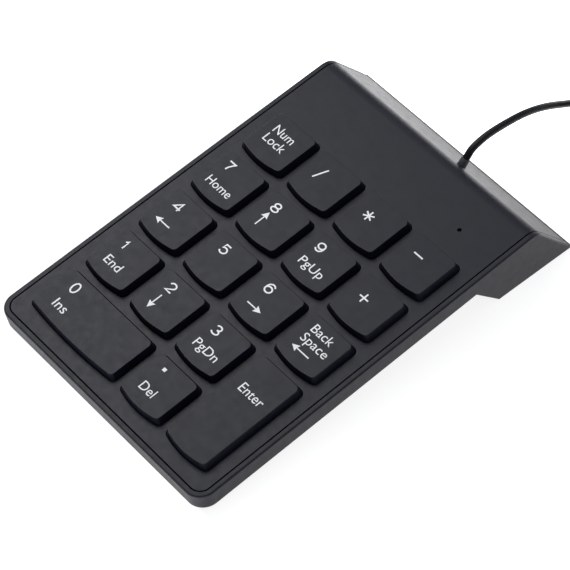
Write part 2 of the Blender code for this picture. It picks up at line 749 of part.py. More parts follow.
def slab_under(y):
    """Height of the slab's underside above the table at upright y."""
    return upright(0.0, -SLAB)[1] + (y - upright(0.0, -SLAB)[0]) * TAN


def foot_seat(y):
    """Height of a foot's flat recess above the table."""
    if y < 0.0:
        return slab_under(y - FOOT_R) + FOOT_RECESS
    return FOOT_PROUD + FOOT_RECESS


def foot_places():
    """Upright x, y of each rubber foot, and the height of its top."""
    places = []
    for y in (FRONT_FOOT_Y, REAR_FOOT_Y):
        world_y = upright(y, -SLAB)[0] if y < 0.0 else upright(y, under_z(y))[0]
        for x in (-FOOT_X, FOOT_X):
            places.append((x, world_y, foot_seat(world_y)))
    return places


def build_feet(rubber):
    names = ("foot_front_left", "foot_front_right", "foot_rear_left", "foot_rear_right")
    for name, (x, y, top) in zip(names, foot_places()):
        profile = [(FOOT_R - FOOT_EDGE, 0.0), (FOOT_R, FOOT_EDGE), (FOOT_R, top)]
        foot = ring_mesh(name, turned_rings(profile, FOOT_SIDES), SMOOTH)
        add_object(name, foot, rubber, None, (x, y, 0.0))


def exit_point():
    """Middle of the cord's hole on the back face, upright frame."""
    point = Vector((0.0, CASE_BACK, 0.0)) + BACK_DIR * BACK_EXIT
    y, z = upright(point.y, point.z)
    return Vector((CORD_X, y, z))


def relief_axis():
    return Vector((0.0, math.cos(RELIEF_RISE), math.sin(RELIEF_RISE)))


def relief_matrix():
    """Turns +Z onto the strain relief's axis, with the origin in the hole."""
    return Matrix.Translation(exit_point()) @ Matrix.Rotation(RELIEF_RISE - math.pi / 2.0, 4, "X")


def build_cord(rubber, cord_mat, steel):
    flange_top = -BACK_SKIN - RELIEF_FLANGE_GAP
    profile = [(RELIEF_FLANGE_R, flange_top - RELIEF_FLANGE), (RELIEF_FLANGE_R, flange_top),
               (RELIEF_R, flange_top), (RELIEF_R, RELIEF_COLLAR), (RELIEF_TIP_R, RELIEF_LENGTH)]
    relief = ring_mesh("strain_relief", turned_rings(profile, ROUND_SIDES), SMOOTH)
    add_object("strain_relief", relief, rubber).matrix_world = relief_matrix()

    start = exit_point() + relief_axis() * (RELIEF_LENGTH + GAP)
    x = start.x
    route = [
        start,
        start + relief_axis() * 0.0016,
        Vector((x, start.y + 0.0034, start.z + 0.0022)),
        Vector((x, start.y + 0.0068, start.z + 0.0028)),
        Vector((x, start.y + 0.0112, start.z + 0.0027)),
        Vector((x, start.y + 0.0160, start.z + 0.0021)),
        Vector((x, start.y + 0.0210, start.z + 0.0011)),
        Vector((x, start.y + 0.0260, start.z - 0.0006)),
        Vector((x, start.y + 0.0310, start.z - 0.0030)),
        Vector((x, start.y + 0.0360, start.z - 0.0060)),
        Vector((x, start.y + 0.0410, start.z - 0.0092)),
        Vector((x, start.y + 0.0460, start.z - 0.0120)),
        Vector((x, start.y + 0.0505, start.z - 0.0137)),
    ]
    cord_object("cord", resample(smooth_curve(route, 8), CORD_POINT), cord_mat)
    build_coil(route[-1], cord_mat, rubber, steel)


def build_coil(entry, cord_mat, rubber, steel):
    """The coil's outer turn is in line with the cord, whose end stops just clear of the coil."""
    outer_turn = COIL_MEAN_R + (COIL_COLUMNS - 1) / 2.0 * CORD_D
    outer = outer_turn + CORD_D / 2.0
    clear = math.sqrt((outer + GAP) ** 2 - (outer_turn - CORD_D / 2.0) ** 2)
    center = Vector((entry.x + outer_turn, entry.y + clear, 0.0))
    inner = outer - COIL_COLUMNS * CORD_D
    top = COIL_LIFT + COIL_LAYERS * CORD_D
    section = [(inner, COIL_LIFT), (outer - COIL_CHAMFER, COIL_LIFT), (outer, COIL_LIFT + COIL_CHAMFER),
               (outer, top - COIL_CHAMFER), (outer - COIL_CHAMFER, top), (inner, top)]
    coil = closed_ring_mesh("cord_coil", section, COIL_SIDES)
    add_object("cord_coil", coil, cord_mat, None, center)

    low, high = COIL_LIFT - GAP, top + GAP
    near, far = inner - GAP, outer + GAP
    loop_in = [(near, low), (far, low), (far, high), (near, high)]
    low, high, near, far = low - TIE_BAND, high + TIE_BAND, near - TIE_BAND, far + TIE_BAND
    loop_out = [(near, low), (far, low), (far, high), (near, high)]
    add_object("coil_tie", link_mesh("coil_tie", loop_in, loop_out, TIE_HALF), rubber, None, center)
    build_plug(Vector((entry.x, center.y + clear, top - CORD_D / 2.0 - TAIL_DROP)), cord_mat, steel)


def closed_ring_mesh(name, section, sides):
    """A turned ring from a closed section of radius and height."""
    bm = bmesh.new()
    loops = []
    for k in range(sides):
        angle = 2.0 * math.pi * k / sides
        loops.append([bm.verts.new((r * math.cos(angle), r * math.sin(angle), z)) for r, z in section])
    for k in range(sides):
        now, following = loops[k], loops[(k + 1) % sides]
        for i in range(len(section)):
            j = (i + 1) % len(section)
            bm.faces.new((now[i], now[j], following[j], following[i]))
    return finish_mesh(name, bm, SMOOTH)


def link_mesh(name, inner, outer, half):
    """A flat band bent into a closed link, its width along y, on the ring's +X side."""
    bm = bmesh.new()
    loops = [[bm.verts.new((r, y, z)) for r, z in outline]
             for outline, y in ((inner, -half), (outer, -half), (outer, half), (inner, half))]
    count = len(inner)
    for k in range(4):
        now, following = loops[k], loops[(k + 1) % 4]
        for i in range(count):
            j = (i + 1) % count
            bm.faces.new((now[i], now[j], following[j], following[i]))
    return finish_mesh(name, bm)


def rounded_rect(half_x, half_z, radius, y, z_middle):
    steps = 3
    plan = arc(half_x - radius, half_z - radius, radius, 0.0, 90.0, steps)
    plan += arc(radius - half_x, half_z - radius, radius, 90.0, 180.0, steps)
    plan += arc(radius - half_x, radius - half_z, radius, 180.0, 270.0, steps)
    plan += arc(half_x - radius, radius - half_z, radius, 270.0, 360.0, steps)
    return [(px, y, pz + z_middle) for px, pz in plan]


def build_plug(start, cord_mat, steel):
    """The tail of the cord, the plug's moulded grip and its metal shell, in line behind the coil."""
    x = start.x
    middle = PLUG_HALF_Z
    tail = [
        start,
        start + Vector((0.0, 0.0040, -0.0009)),
        Vector((x, start.y + 0.0090, middle + 0.0015)),
        Vector((x, start.y + 0.0140, middle + 0.0003)),
        Vector((x, start.y + 0.0180, middle)),
    ]
    cord_object("cord_end", resample(smooth_curve(tail, 6), TAIL_POINT), cord_mat)

    boot = tail[-1].y + GAP
    body = (PLUG_HALF_X, PLUG_HALF_Z, PLUG_CORNER)
    grip = [
        rounded_rect(BOOT_ROOT, BOOT_ROOT, BOOT_ROOT * ALMOST_ROUND, boot, middle),
        rounded_rect(BOOT_TIP, BOOT_TIP, BOOT_TIP * ALMOST_ROUND, boot + BOOT_LENGTH, middle),
        rounded_rect(SHOULDER_HALF_X, SHOULDER_HALF_Z, PLUG_CORNER, boot + SHOULDER_Y, middle),
        rounded_rect(*body, boot + SHOULDER_END, middle),
        rounded_rect(*body, boot + PLUG_BODY_END, middle),
        rounded_rect(*(size - PLUG_EDGE for size in body), boot + PLUG_LENGTH, middle),
    ]
    add_object("plug_grip", ring_mesh("plug_grip", grip, SMOOTH), cord_mat, None, (x, 0.0, 0.0))

    root = boot + PLUG_LENGTH + GAP
    tip = root + SHELL_LENGTH
    outer = (SHELL_HALF_X, SHELL_HALF_Z, SHELL_CORNER)
    inner = (SHELL_HALF_X - SHELL_SKIN, SHELL_HALF_Z - SHELL_SKIN, SHELL_INNER_CORNER)
    shell = [
        rounded_rect(*outer, root, middle),
        rounded_rect(*outer, tip, middle),
        rounded_rect(*inner, tip, middle),
        rounded_rect(*inner, root + SHELL_FLOOR, middle),
    ]
    add_object("plug_shell", ring_mesh("plug_shell", shell, SMOOTH), steel, None, (x, 0.0, 0.0))


def main():
    clear_scene()
    charcoal = material("charcoal_plastic", (0.045, 0.047, 0.052), 0.5)
    case_mat = material("case_plastic", (0.035, 0.037, 0.041), 0.4)
    cap_mat = material("keycap_plastic", (0.045, 0.047, 0.052), 0.45)
    silicone = material("silicone", (0.75, 0.77, 0.78), 0.5)
    film = material("polyester_film", (0.70, 0.76, 0.78), 0.3)
    steel = material("steel", (0.6, 0.6, 0.6), 0.35, 1.0)
    board_mat = material("circuit_board", (0.03, 0.20, 0.08), 0.5)
    chip_mat = material("chip_resin", (0.02, 0.02, 0.02), 0.4)
    led_mat = material("led_resin", (0.55, 0.75, 0.55), 0.2)
    rubber = material("black_rubber", (0.02, 0.02, 0.02), 0.8)
    cord_mat = material("cord_jacket", (0.02, 0.02, 0.022), 0.5)

    deck = bpy.data.objects.new("deck_frame", None)
    bpy.context.scene.collection.objects.link(deck)
    deck.location = (0.0, DECK_Y, DECK_Z)
    deck.rotation_euler = (TILT, 0.0, 0.0)

    build_case(deck, case_mat, charcoal, steel)
    build_keys(deck, cap_mat, silicone, steel)
    build_inside(deck, film, steel, board_mat, chip_mat, led_mat)
    build_feet(rubber)
    build_cord(rubber, cord_mat, steel)
    bpy.context.view_layer.update()


main()
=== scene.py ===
import math

import bmesh
import bpy
from mathutils import Euler, Matrix, Vector


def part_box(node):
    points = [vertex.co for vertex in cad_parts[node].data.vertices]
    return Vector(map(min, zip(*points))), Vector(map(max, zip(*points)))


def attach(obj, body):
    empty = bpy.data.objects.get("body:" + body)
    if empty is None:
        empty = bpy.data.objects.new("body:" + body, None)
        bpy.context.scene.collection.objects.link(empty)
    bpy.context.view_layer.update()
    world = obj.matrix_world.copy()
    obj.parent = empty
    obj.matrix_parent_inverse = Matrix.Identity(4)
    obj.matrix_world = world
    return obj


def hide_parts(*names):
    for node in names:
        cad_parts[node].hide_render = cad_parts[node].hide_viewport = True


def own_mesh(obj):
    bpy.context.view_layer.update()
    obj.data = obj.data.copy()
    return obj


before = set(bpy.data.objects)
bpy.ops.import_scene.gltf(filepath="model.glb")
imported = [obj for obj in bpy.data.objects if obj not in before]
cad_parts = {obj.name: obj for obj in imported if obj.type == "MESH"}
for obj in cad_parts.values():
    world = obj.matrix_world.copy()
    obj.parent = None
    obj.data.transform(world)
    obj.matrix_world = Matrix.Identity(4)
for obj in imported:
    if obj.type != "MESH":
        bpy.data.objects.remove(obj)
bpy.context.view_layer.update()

# ---- the case's design, in metres, in the frame of its tilted deck
PITCH = 0.019
COLUMNS = 4
TILT = math.radians(5.7)
GAP = 0.0003
CASE_HALF = 0.0427          # 0.1 mm over the CAD's, as the photograph shows it
CASE_FRONT = -0.0836
CASE_FRONT_FOOT = -0.0827
DRAWN_FRONT_FOOT = -0.0832  # the front wall's foot as the photograph shows it
CASE_BACK = 0.0385
SLAB = 0.0060
CORNER_R = 0.0052
CAD_EDGE_R = 0.0009         # rounding of the rim's outer edge in the CAD
RIM_R = 0.00060             # the same edge as it is drawn here
GROOVE_R = 0.00010          # rounding of the rim's inner edge, along the groove
FLOOR = 0.0011
WALL = 0.00157
FRONT_EXTRA = 0.0001
RISER_START = 0.0154
RISER_LEAN = 0.755
RISER_SKIN = 0.0012
RISER_FLOOR = 0.0011
BACK_LEAN = 0.6856
REAR_LIP = 0.0024
FOOT_PROUD = 0.0008
DRAWN_DROP = 0.0006         # the riser is drawn this much taller, as the photograph shows it
DECK = 0.0011
DECK_EDGE_R = 0.00010       # rounding of the cover's edges and openings
BEND_R = 0.0060             # outer radius where the deck turns down into the back face
ROW_Y = 0.007275
CASE_BEVEL = 0.00022        # softens the case's other edges

HOLD = 0.0001               # a flat face starts this far past a rounding,
RIM_HOLD = 0.00006          # or this far on the narrow rim and the cover's edges,
CAP_HOLD = 0.00008          # or this far on a cap's top
FOOT_HOLD = 0.0006          # how far up the wall the foot's rounding is felt
BEND_STEPS = 14
CORNER_STEPS = 16
EDGE_STEPS = 9
GROOVE_STEPS = 3
COVER_EDGE_STEPS = 4
CAP_EDGE_STEPS = 5

CAP_HALF = 0.0083
OPENING_GAP = 0.00016
CAP_RISE = 0.0025
CAP_INSET = 0.0008
CAP_FRONT_INSET = 0.0002
CAP_BOW = 0.0008
CAP_EDGE_R = 0.00009
CAP_BASE_R = 0.0015
CAP_TOP_R = 0.0014
CAP_LEAST_R = 0.0003
CAP_INNER_R = 0.0010
CAP_DRAFT = 0.93            # the roof's inside by the mouth's
CAP_ROOF = 0.0010
CAP_SKIN = 0.0010
OPENING_R = 0.0017
FLANGE_OUT = 0.0010
FLANGE_R = 0.0012
FLANGE_TOP = -0.0014
FLANGE_THICK = 0.00055
PLUNGER_R = 0.0018
PLUNGER_END = -0.00125
PLUNGER_EDGE = 0.00012
PLUNGER_TIP = 0.92          # the tip's radius by the plunger's
PLUNGER_FLARE = 1.25        # the same for the flare that meets the roof,
PLUNGER_ROOT = 0.0005       # and the flare's height
DOME_FOOT = -0.00368
DOME_TOP = -0.00132
WIRE_OFFSET = 0.0058
WIRE_ARM = 0.008
WIRE_SPAN = 0.012
LUG_NEAR = WIRE_SPAN + 0.0007
LUG_FAR = WIRE_SPAN + 0.0017
LUG_PRONGS = (-0.0015, 0.0007)
LUG_THICK = 0.0008
LUG_FOOT = -0.0016
LUG_ROOT = 0.0003           # how far the lugs run into the roof

SCREW_X = 0.030
SCREW_Y = 0.0330
SCREW_HEAD_R = 0.0020
SCREW_HEAD = 0.0014
SCREW_R = 0.0010
HEAD_SEAT = 0.0024
BOSS_R = 0.0038
BOSS_FOOT = 0.0008
BOSS_ROOF = 0.0016          # boss above the screw head's seat
PILLAR_R = 0.0025           # the cover's pillars over the bosses,
PILLAR_EDGE = 0.0002        # their chamfer,
PILLAR_TOP = 0.0002 - DECK  # and their upper end, inside the deck
THREAD_TURNS = 9
THREAD_PITCH = 0.00072
THREAD_ROOT = 0.00072
CROSS_LONG = 0.0011
CROSS_WIDE = 0.0002
CROSS_DEEP = 0.0006
LED_X = 0.0270
LED_Y = 0.0240
LED_HOLE_R = 0.0006
FOOT_R = 0.0040
FOOT_EDGE_R = 0.0004
FOOT_CHAMFER = 0.0001
FEET = ("foot_front_left", "foot_front_right", "foot_rear_left", "foot_rear_right")
CUT_PAST = 0.003            # cutters run this far past a face,
FOOT_CUT = 0.002            # or this far under the table

SIN, COS, TAN = math.sin(TILT), math.cos(TILT), math.tan(TILT)


def rotated(y, z):
    """Deck y, z in the upright frame, before the deck's own place is added."""
    return y * COS - z * SIN, y * SIN + z * COS


DECK_Z = FOOT_PROUD - rotated(CASE_FRONT_FOOT, -SLAB)[1]
UNDER = (FOOT_PROUD - DECK_Z) / COS     # the underside's height where deck y is 0


def meet_underside(y, z, lean, under=UNDER):
    end_y = (y + lean * (z - under)) / (1.0 - lean * TAN)
    return end_y, under - end_y * TAN


RISER_FOOT = meet_underside(RISER_START, -SLAB, RISER_LEAN)
BACK_FOOT = meet_underside(CASE_BACK, 0.0, BACK_LEAN)
DECK_Y = -(rotated(CASE_FRONT, -CAD_EDGE_R)[0] + rotated(*BACK_FOOT)[0]) / 2.0
BACK_DIR = Vector((0.0, BACK_LEAN, -1.0)).normalized()
BACK_NORMAL = Vector((0.0, 1.0, BACK_LEAN)).normalized()
BACK_CLIMB = -rotated(BACK_DIR.y, BACK_DIR.z)[1]
NORMAL_CLIMB = rotated(BACK_NORMAL.y, BACK_NORMAL.z)[1]
DECK_FRAME = Matrix.Translation((0.0, DECK_Y, DECK_Z)) @ Matrix.Rotation(TILT, 4, "X")
SCREW_FACE = UNDER - SCREW_Y * TAN      # the underside's height at the screws,
SCREW_SEAT = SCREW_FACE + HEAD_SEAT     # and the seat of their heads

ROW_NAMES = (
    ("key_num_lock", "key_divide", "key_multiply", "key_minus"),
    ("key_7", "key_8", "key_9", "key_plus"),
    ("key_4", "key_5", "key_6", "key_backspace"),
    ("key_1", "key_2", "key_3", None),
    (None, None, "key_decimal", None),
)
WIDE_KEY = "key_0"
TALL_KEY = "key_enter"

# ---- materials


def new_material(name, roughness, metallic=0.0):
    mat = bpy.data.materials.new(name)
    mat.use_nodes = True
    shader = mat.node_tree.nodes["Principled BSDF"]
    shader.inputs["Roughness"].default_value = roughness
    shader.inputs["Metallic"].default_value = metallic
    return mat, shader


def node(mat, kind, **values):
    item = mat.node_tree.nodes.new("ShaderNode" + kind)
    for name, value in values.items():
        if name in item.inputs:
            item.inputs[name].default_value = value
        else:
            setattr(item, name, value)
    return item


def join(mat, source, target):
    mat.node_tree.links.new(source, target)


def place_coords(mat):
    return node(mat, "TexCoord").outputs["Object"]


def noise(mat, coords, scale, detail=3.0, rough=0.55):
    item = node(mat, "TexNoise", Scale=scale, Detail=detail, Roughness=rough)
    join(mat, coords, item.inputs["Vector"])
    return item.outputs["Fac"]


def span(mat, value, low, high, start=0.3, end=0.7):
    """Maps start..end to low..high."""
    item = node(mat, "MapRange")
    limits = {"From Min": start, "From Max": end, "To Min": low, "To Max": high}
    for name, limit in limits.items():
        item.inputs[name].default_value = limit
    join(mat, value, item.inputs["Value"])
    return item.outputs["Result"]


def blend_colors(mat, factor, first, second):
    """first and second are colours or sockets."""
    item = node(mat, "Mix", data_type="RGBA")
    join(mat, factor, item.inputs["Factor"])
    for name, value in (("A", first), ("B", second)):
        slot = next(s for s in item.inputs if s.name == name and s.type == "RGBA")
        if isinstance(value, tuple):
            slot.default_value = (*value, 1.0)
        else:
            join(mat, value, slot)
    return next(s for s in item.outputs if s.type == "RGBA")


def mottled(mat, coords, scale, colors, detail=3.0, start=0.3, end=0.7):
    """A colour that wanders between two."""
    share = span(mat, noise(mat, coords, scale, detail), 0.0, 1.0, start, end)
    return blend_colors(mat, share, *colors)


def math_node(mat, operation, first, second):
    item = node(mat, "Math", operation=operation)
    for slot, value in zip(item.inputs, (first, second)):
        if isinstance(value, (int, float)):
            slot.default_value = value
        else:
            join(mat, value, slot)
    return item.outputs[0]


def bump(mat, shader, height, distance, strength=1.0, before=None):
    item = node(mat, "Bump", Strength=strength, Distance=distance)
    join(mat, height, item.inputs["Height"])
    if before is not None:
        join(mat, before, item.inputs["Normal"])
    join(mat, item.outputs["Normal"], shader.inputs["Normal"])
    return item.outputs["Normal"]


def moulded_plastic(name, colors, rough, grain=0.00011, gloss=0.5, wear=(0.012, 0.0125, 0.017)):
    """Spark-eroded mould texture: fine grain, faint cloudiness, and edges that handling has polished."""
    grain_depth = 0.000006
    mat, shader = new_material(name, rough)
    shader.inputs["Specular IOR Level"].default_value = gloss
    coords = place_coords(mat)
    edge = node(mat, "Attribute", attribute_name="edge").outputs["Fac"]
    patches = span(mat, noise(mat, coords, 900.0), 0.15, 1.0, 0.35, 0.65)
    worn = math_node(mat, "MULTIPLY", edge, patches)
    color = mottled(mat, coords, 160.0, colors, 4.0)
    join(mat, blend_colors(mat, worn, color, wear), shader.inputs["Base Color"])
    base_rough = span(mat, noise(mat, coords, 420.0, 3.0), rough - 0.035, rough + 0.035)
    smoother = math_node(mat, "MULTIPLY", worn, 0.10)
    join(mat, math_node(mat, "SUBTRACT", base_rough, smoother), shader.inputs["Roughness"])
    first = bump(mat, shader, noise(mat, coords, 1.0 / grain, 2.0, 0.6), grain_depth)
    bump(mat, shader, noise(mat, coords, 0.28 / grain, 2.0), grain_depth * 1.6, 0.6, first)
    return mat


def soft_material(name, colors, rough, scales, depth, detail=3.0, swing=0.0, **inputs):
    """Rubber, resin or ink: mottled, with a fine grain. scales are those of the colour and the grain."""
    mat, shader = new_material(name, rough)
    for key, value in inputs.items():
        shader.inputs[key.replace("_", " ")].default_value = value
    coords = place_coords(mat)
    join(mat, mottled(mat, coords, scales[0], colors, detail), shader.inputs["Base Color"])
    if swing:
        join(mat, span(mat, noise(mat, coords, 1500.0), rough - swing, rough + swing),
             shader.inputs["Roughness"])
    bump(mat, shader, noise(mat, coords, scales[1]), depth)
    return mat


def rubber_material(name, dark, light, rough, gloss=0.5):
    mat = soft_material(name, (dark, light), rough, (500.0, 6000.0), 0.000008, 4.0, 0.06)
    mat.node_tree.nodes["Principled BSDF"].inputs["Specular IOR Level"].default_value = gloss
    return mat


def ink_material():
    """Pad-printed legend ink: nearly white, slightly uneven."""
    mat, shader = new_material("legend_ink", 0.45)
    coords = place_coords(mat)
    colors = ((0.84, 0.84, 0.84), (0.89, 0.89, 0.89))
    join(mat, mottled(mat, coords, 2600.0, colors, end=0.6), shader.inputs["Base Color"])
    bump(mat, shader, noise(mat, coords, 7000.0, 2.0), 0.000003)
    return mat


def metal_material(name, color, rough, stretch, depth=0.000004):
    """Rolled or drawn metal: fine streaks along one axis, with a few darker specks."""
    mat, shader = new_material(name, rough, 1.0)
    coords = place_coords(mat)
    mapping = node(mat, "Mapping", Scale=stretch)
    join(mat, coords, mapping.inputs["Vector"])
    streak = noise(mat, mapping.outputs["Vector"], 1500.0, 3.0)
    tone = blend_colors(mat, span(mat, streak, 0.0, 1.0), color, tuple(c * 0.9 for c in color))
    speck = span(mat, noise(mat, coords, 1200.0, 4.0), 0.0, 1.0, 0.62, 0.75)
    dull = tuple(c * 0.78 for c in color)
    join(mat, blend_colors(mat, speck, tone, dull), shader.inputs["Base Color"])
    join(mat, span(mat, streak, rough - 0.06, rough + 0.10), shader.inputs["Roughness"])
    bump(mat, shader, streak, depth)
    return mat


def tracked_material(name, rough, colors, scale, track, run, row, line, depth, offset=0.5):
    """A sheet with tracks: each is run long in rows, and line wide."""
    mat, shader = new_material(name, rough)
    coords = place_coords(mat)
    tracks = node(mat, "TexBrick", Scale=1.0, offset=offset)
    for key, value in (("Brick Width", run), ("Row Height", row), ("Mortar Size", line)):
        tracks.inputs[key].default_value = value
    join(mat, coords, tracks.inputs["Vector"])
    sheet = mottled(mat, coords, scale, colors)
    join(mat, blend_colors(mat, tracks.outputs["Fac"], sheet, track), shader.inputs["Base Color"])
    bump(mat, shader, tracks.outputs["Fac"], depth)
    return mat


BODY = ((0.0024, 0.0031, 0.0096), (0.0040, 0.0047, 0.0120))
MATERIALS = {
    "cap": moulded_plastic("keycap_abs", BODY, 0.45, 0.00011, 0.27),
    "cover": moulded_plastic("cover_abs", BODY, 0.43, 0.00013, 0.27),
    "case": moulded_plastic("case_abs", ((0.0036, 0.0043, 0.0108), (0.0058, 0.0064, 0.0134)),
                            0.48, 0.00012, 0.29),
    "ink": ink_material(),
    "cord": rubber_material("cord_pvc", (0.0045, 0.0048, 0.0060), (0.0070, 0.0074, 0.0088), 0.46, 0.20),
    "relief": rubber_material("relief_rubber", (0.030, 0.031, 0.033), (0.042, 0.043, 0.045), 0.62),
    "foot": rubber_material("foot_rubber", (0.012, 0.012, 0.012), (0.022, 0.022, 0.022), 0.85),
    "tie": rubber_material("tie_pvc", (0.010, 0.010, 0.010), (0.016, 0.016, 0.016), 0.30),
    "plug": moulded_plastic("plug_pvc", ((0.009, 0.0095, 0.0105), (0.014, 0.0145, 0.0155)), 0.48),
    "nickel": metal_material("plug_nickel", (0.70, 0.69, 0.66), 0.20, (1.0, 0.08, 1.0)),
    "steel": metal_material("backing_steel", (0.56, 0.57, 0.58), 0.34, (0.05, 1.0, 1.0)),
    "wire": metal_material("spring_wire", (0.58, 0.58, 0.57), 0.28, (0.1, 1.0, 1.0)),
    "screw": metal_material("screw_zinc", (0.44, 0.44, 0.46), 0.30, (1.0, 1.0, 1.0)),
    "gold": metal_material("contact_gold", (0.83, 0.62, 0.28), 0.22, (1.0, 0.1, 1.0)),
    "tongue": moulded_plastic("tongue_pbt", ((0.72, 0.72, 0.70), (0.80, 0.80, 0.78)), 0.40,
                              wear=(0.8, 0.8, 0.8)),
    "silicone": soft_material("dome_silicone", ((0.70, 0.73, 0.74), (0.82, 0.84, 0.84)), 0.42,
                              (700.0, 5000.0), 0.000004, Subsurface_Weight=0.35,
                              Subsurface_Radius=(0.0012, 0.0012, 0.0011), Subsurface_Scale=1.0),
    "film": tracked_material("membrane_film", 0.28, ((0.60, 0.68, 0.72), (0.70, 0.77, 0.80)), 300.0,
                             (0.50, 0.50, 0.48), PITCH / 2.0, PITCH / 4.0, 0.0004, 0.00001),
    "board": tracked_material("board_solder_resist", 0.30, ((0.012, 0.13, 0.05), (0.018, 0.17, 0.07)),
                              500.0, (0.05, 0.28, 0.12), 0.0042, 0.0011, 0.00018, 0.00002, 0.35),
    "chip": moulded_plastic("chip_epoxy", ((0.010, 0.010, 0.011), (0.018, 0.018, 0.019)), 0.55),
    "lamp": soft_material("led_lens", ((0.45, 0.72, 0.45), (0.62, 0.84, 0.60)), 0.12,
                          (1500.0, 3000.0), 0.000003, Transmission_Weight=0.35),
}

# ---- shape helpers


def arc(cx, cy, radius, start, end, steps):
    """Points along an arc, angles in degrees, both ends included."""
    return ellipse(cx, cy, radius, radius, start, end, steps)


def ellipse(cx, cy, rx, ry, start, end, steps=20):
    turns = [math.radians(start + (end - start) * i / steps) for i in range(steps + 1)]
    return [(cx + rx * math.cos(a), cy + ry * math.sin(a)) for a in turns]


def circle(radius, sides, cx=0.0, cy=0.0):
    return arc(cx, cy, radius, 0.0, 360.0 * (sides - 1) / sides, sides - 1)


def key_outline(half_x, back, front, radius, steps=8, bow_steps=18):
    """Closed outline of a key: straight sides, rounded corners and a front edge that bows out."""
    reach = half_x - radius
    low = front + CAP_BOW + radius
    points = arc(reach, back - radius, radius, 0.0, 90.0, steps)
    points += arc(-reach, back - radius, radius, 90.0, 180.0, steps)
    points += arc(-reach, low, radius, 180.0, 262.0, steps)
    for i in range(1, bow_steps):
        x = -reach + 2.0 * reach * i / bow_steps
        points.append((x, front + CAP_BOW * (x / reach) ** 2))
    points += arc(reach, low, radius, 278.0, 360.0, steps)
    return points


def box_outline(x0, x1, z0, z1, radius, steps=6):
    """Closed outline of a rectangle with rounded corners."""
    points = arc(x1 - radius, z1 - radius, radius, 0.0, 90.0, steps)
    points += arc(x0 + radius, z1 - radius, radius, 90.0, 180.0, steps)
    points += arc(x0 + radius, z0 + radius, radius, 180.0, 270.0, steps)
    points += arc(x1 - radius, z0 + radius, radius, 270.0, 360.0, steps)
    return points


def rounded_rect(half_x, half_z, radius, y, middle_z=0.0):
    plan = box_outline(-half_x, half_x, -half_z, half_z, radius)
    return [(px, y, pz + middle_z) for px, pz in plan]


def level(outline, z):
    return [(x, y, z) for x, y in outline]


def rim_profile(radius, steps, hold):
    """Inset and depth of the rings over a rounded edge, from the flat face down to the wall."""
    turns = [math.radians(90.0 * i / steps) for i in range(steps + 1)]
    rounding = [(radius * (1.0 - math.sin(a)), radius * (1.0 - math.cos(a))) for a in turns]
    return [(radius + hold, 0.0), *rounding]


def edge_layer(bm):
    """The attribute that wear is drawn by."""
    return bm.verts.layers.float.get("edge") or bm.verts.layers.float.new("edge")


def new_loop(bm, points, worn=False):
    layer = edge_layer(bm)
    loop = [bm.verts.new(point) for point in points]
    for vert in loop:
        vert[layer] = float(worn)
    return loop


def bridge(bm, low, high):
    """Quads between two loops of the same count."""
    for i in range(len(low)):
        j = (i + 1) % len(low)
        bm.faces.new((low[i], low[j], high[j], high[i]))


def skin(bm, loops, closed=False):
    """Faces over loops of the same count, joined end to end or else filled at both ends."""
    for low, high in zip(loops, loops[1:]):
        bridge(bm, low, high)
    if closed:
        bridge(bm, loops[-1], loops[0])
    else:
        bm.faces.new(loops[0])
        bm.faces.new(list(reversed(loops[-1])))


def add_rings(bm, rings, closed=False, edge_rings=()):
    """A closed solid from rings with equal counts. edge_rings are those that wear shows on."""
    skin(bm, [new_loop(bm, ring, number in edge_rings) for number, ring in enumerate(rings)], closed)


def add_box(bm, low, high):
    size = Vector(high) - Vector(low)
    middle = (Vector(high) + Vector(low)) / 2.0
    place = Matrix.Translation(middle) @ Matrix.Diagonal((*size, 1.0))
    bmesh.ops.create_cube(bm, size=1.0, matrix=place)


def add_prism(bm, points, low, high):
    skin(bm, [[bm.verts.new((*p, z)) for p in points] for z in (high, low)])


def turned(bm, profile, sides, matrix=Matrix.Identity(4), closed=False):
    """Rings turned about z from radius and height pairs."""
    rings = [[matrix @ Vector(p) for p in level(circle(radius, sides), z)] for radius, z in profile]
    add_rings(bm, rings, closed)


def link_mesh(name, mesh, mat):
    item = bpy.data.objects.new(name, mesh)
    bpy.context.scene.collection.objects.link(item)
    if mat is not None:
        mesh.materials.append(mat)
    return item


def finish_shading(mesh, sharp=32.0):
    mesh.shade_smooth()
    mesh.set_sharp_from_angle(angle=math.radians(sharp))


def to_mesh(name, bm, matrix=None, sharp=32.0):
    bmesh.ops.recalc_face_normals(bm, faces=bm.faces)
    mesh = bpy.data.meshes.new(name)
    bm.to_mesh(mesh)
    bm.free()
    if matrix is not None:
        mesh.transform(matrix)
    finish_shading(mesh, sharp)
    return mesh


def add_piece(name, bm, mat, body="case", matrix=None, replaces=(), sharp=32.0):
    item = link_mesh(name, to_mesh(name, bm, matrix, sharp), MATERIALS[mat])
    return declare(item, body, replaces)


def declare(item, body, replaces=()):
    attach(item, body)
    if replaces:
        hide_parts(*replaces)
    return item


def cut_with(item, cutters, operation="DIFFERENCE"):
    """Applies a Boolean with a mesh of cutters, which then goes."""
    other = link_mesh(item.name + "_cutter", cutters, None)
    step = item.modifiers.new("cut", "BOOLEAN")
    step.operation = operation
    step.object = other
    apply_modifiers(item)
    bpy.data.objects.remove(other)


def apply_modifiers(item):
    graph = bpy.context.evaluated_depsgraph_get()
    graph.update()
    mesh = bpy.data.meshes.new_from_object(item.evaluated_get(graph), depsgraph=graph)
    item.modifiers.clear()
    item.data = mesh


def bevel(item, width, angle):
    step = item.modifiers.new("edge", "BEVEL")
    step.width = width
    step.segments = 2
    step.limit_method = "ANGLE"
    step.angle_limit = math.radians(angle)
    step.use_clamp_overlap = True
    step.harden_normals = False
    step.miter_outer = "MITER_ARC"
    apply_modifiers(item)


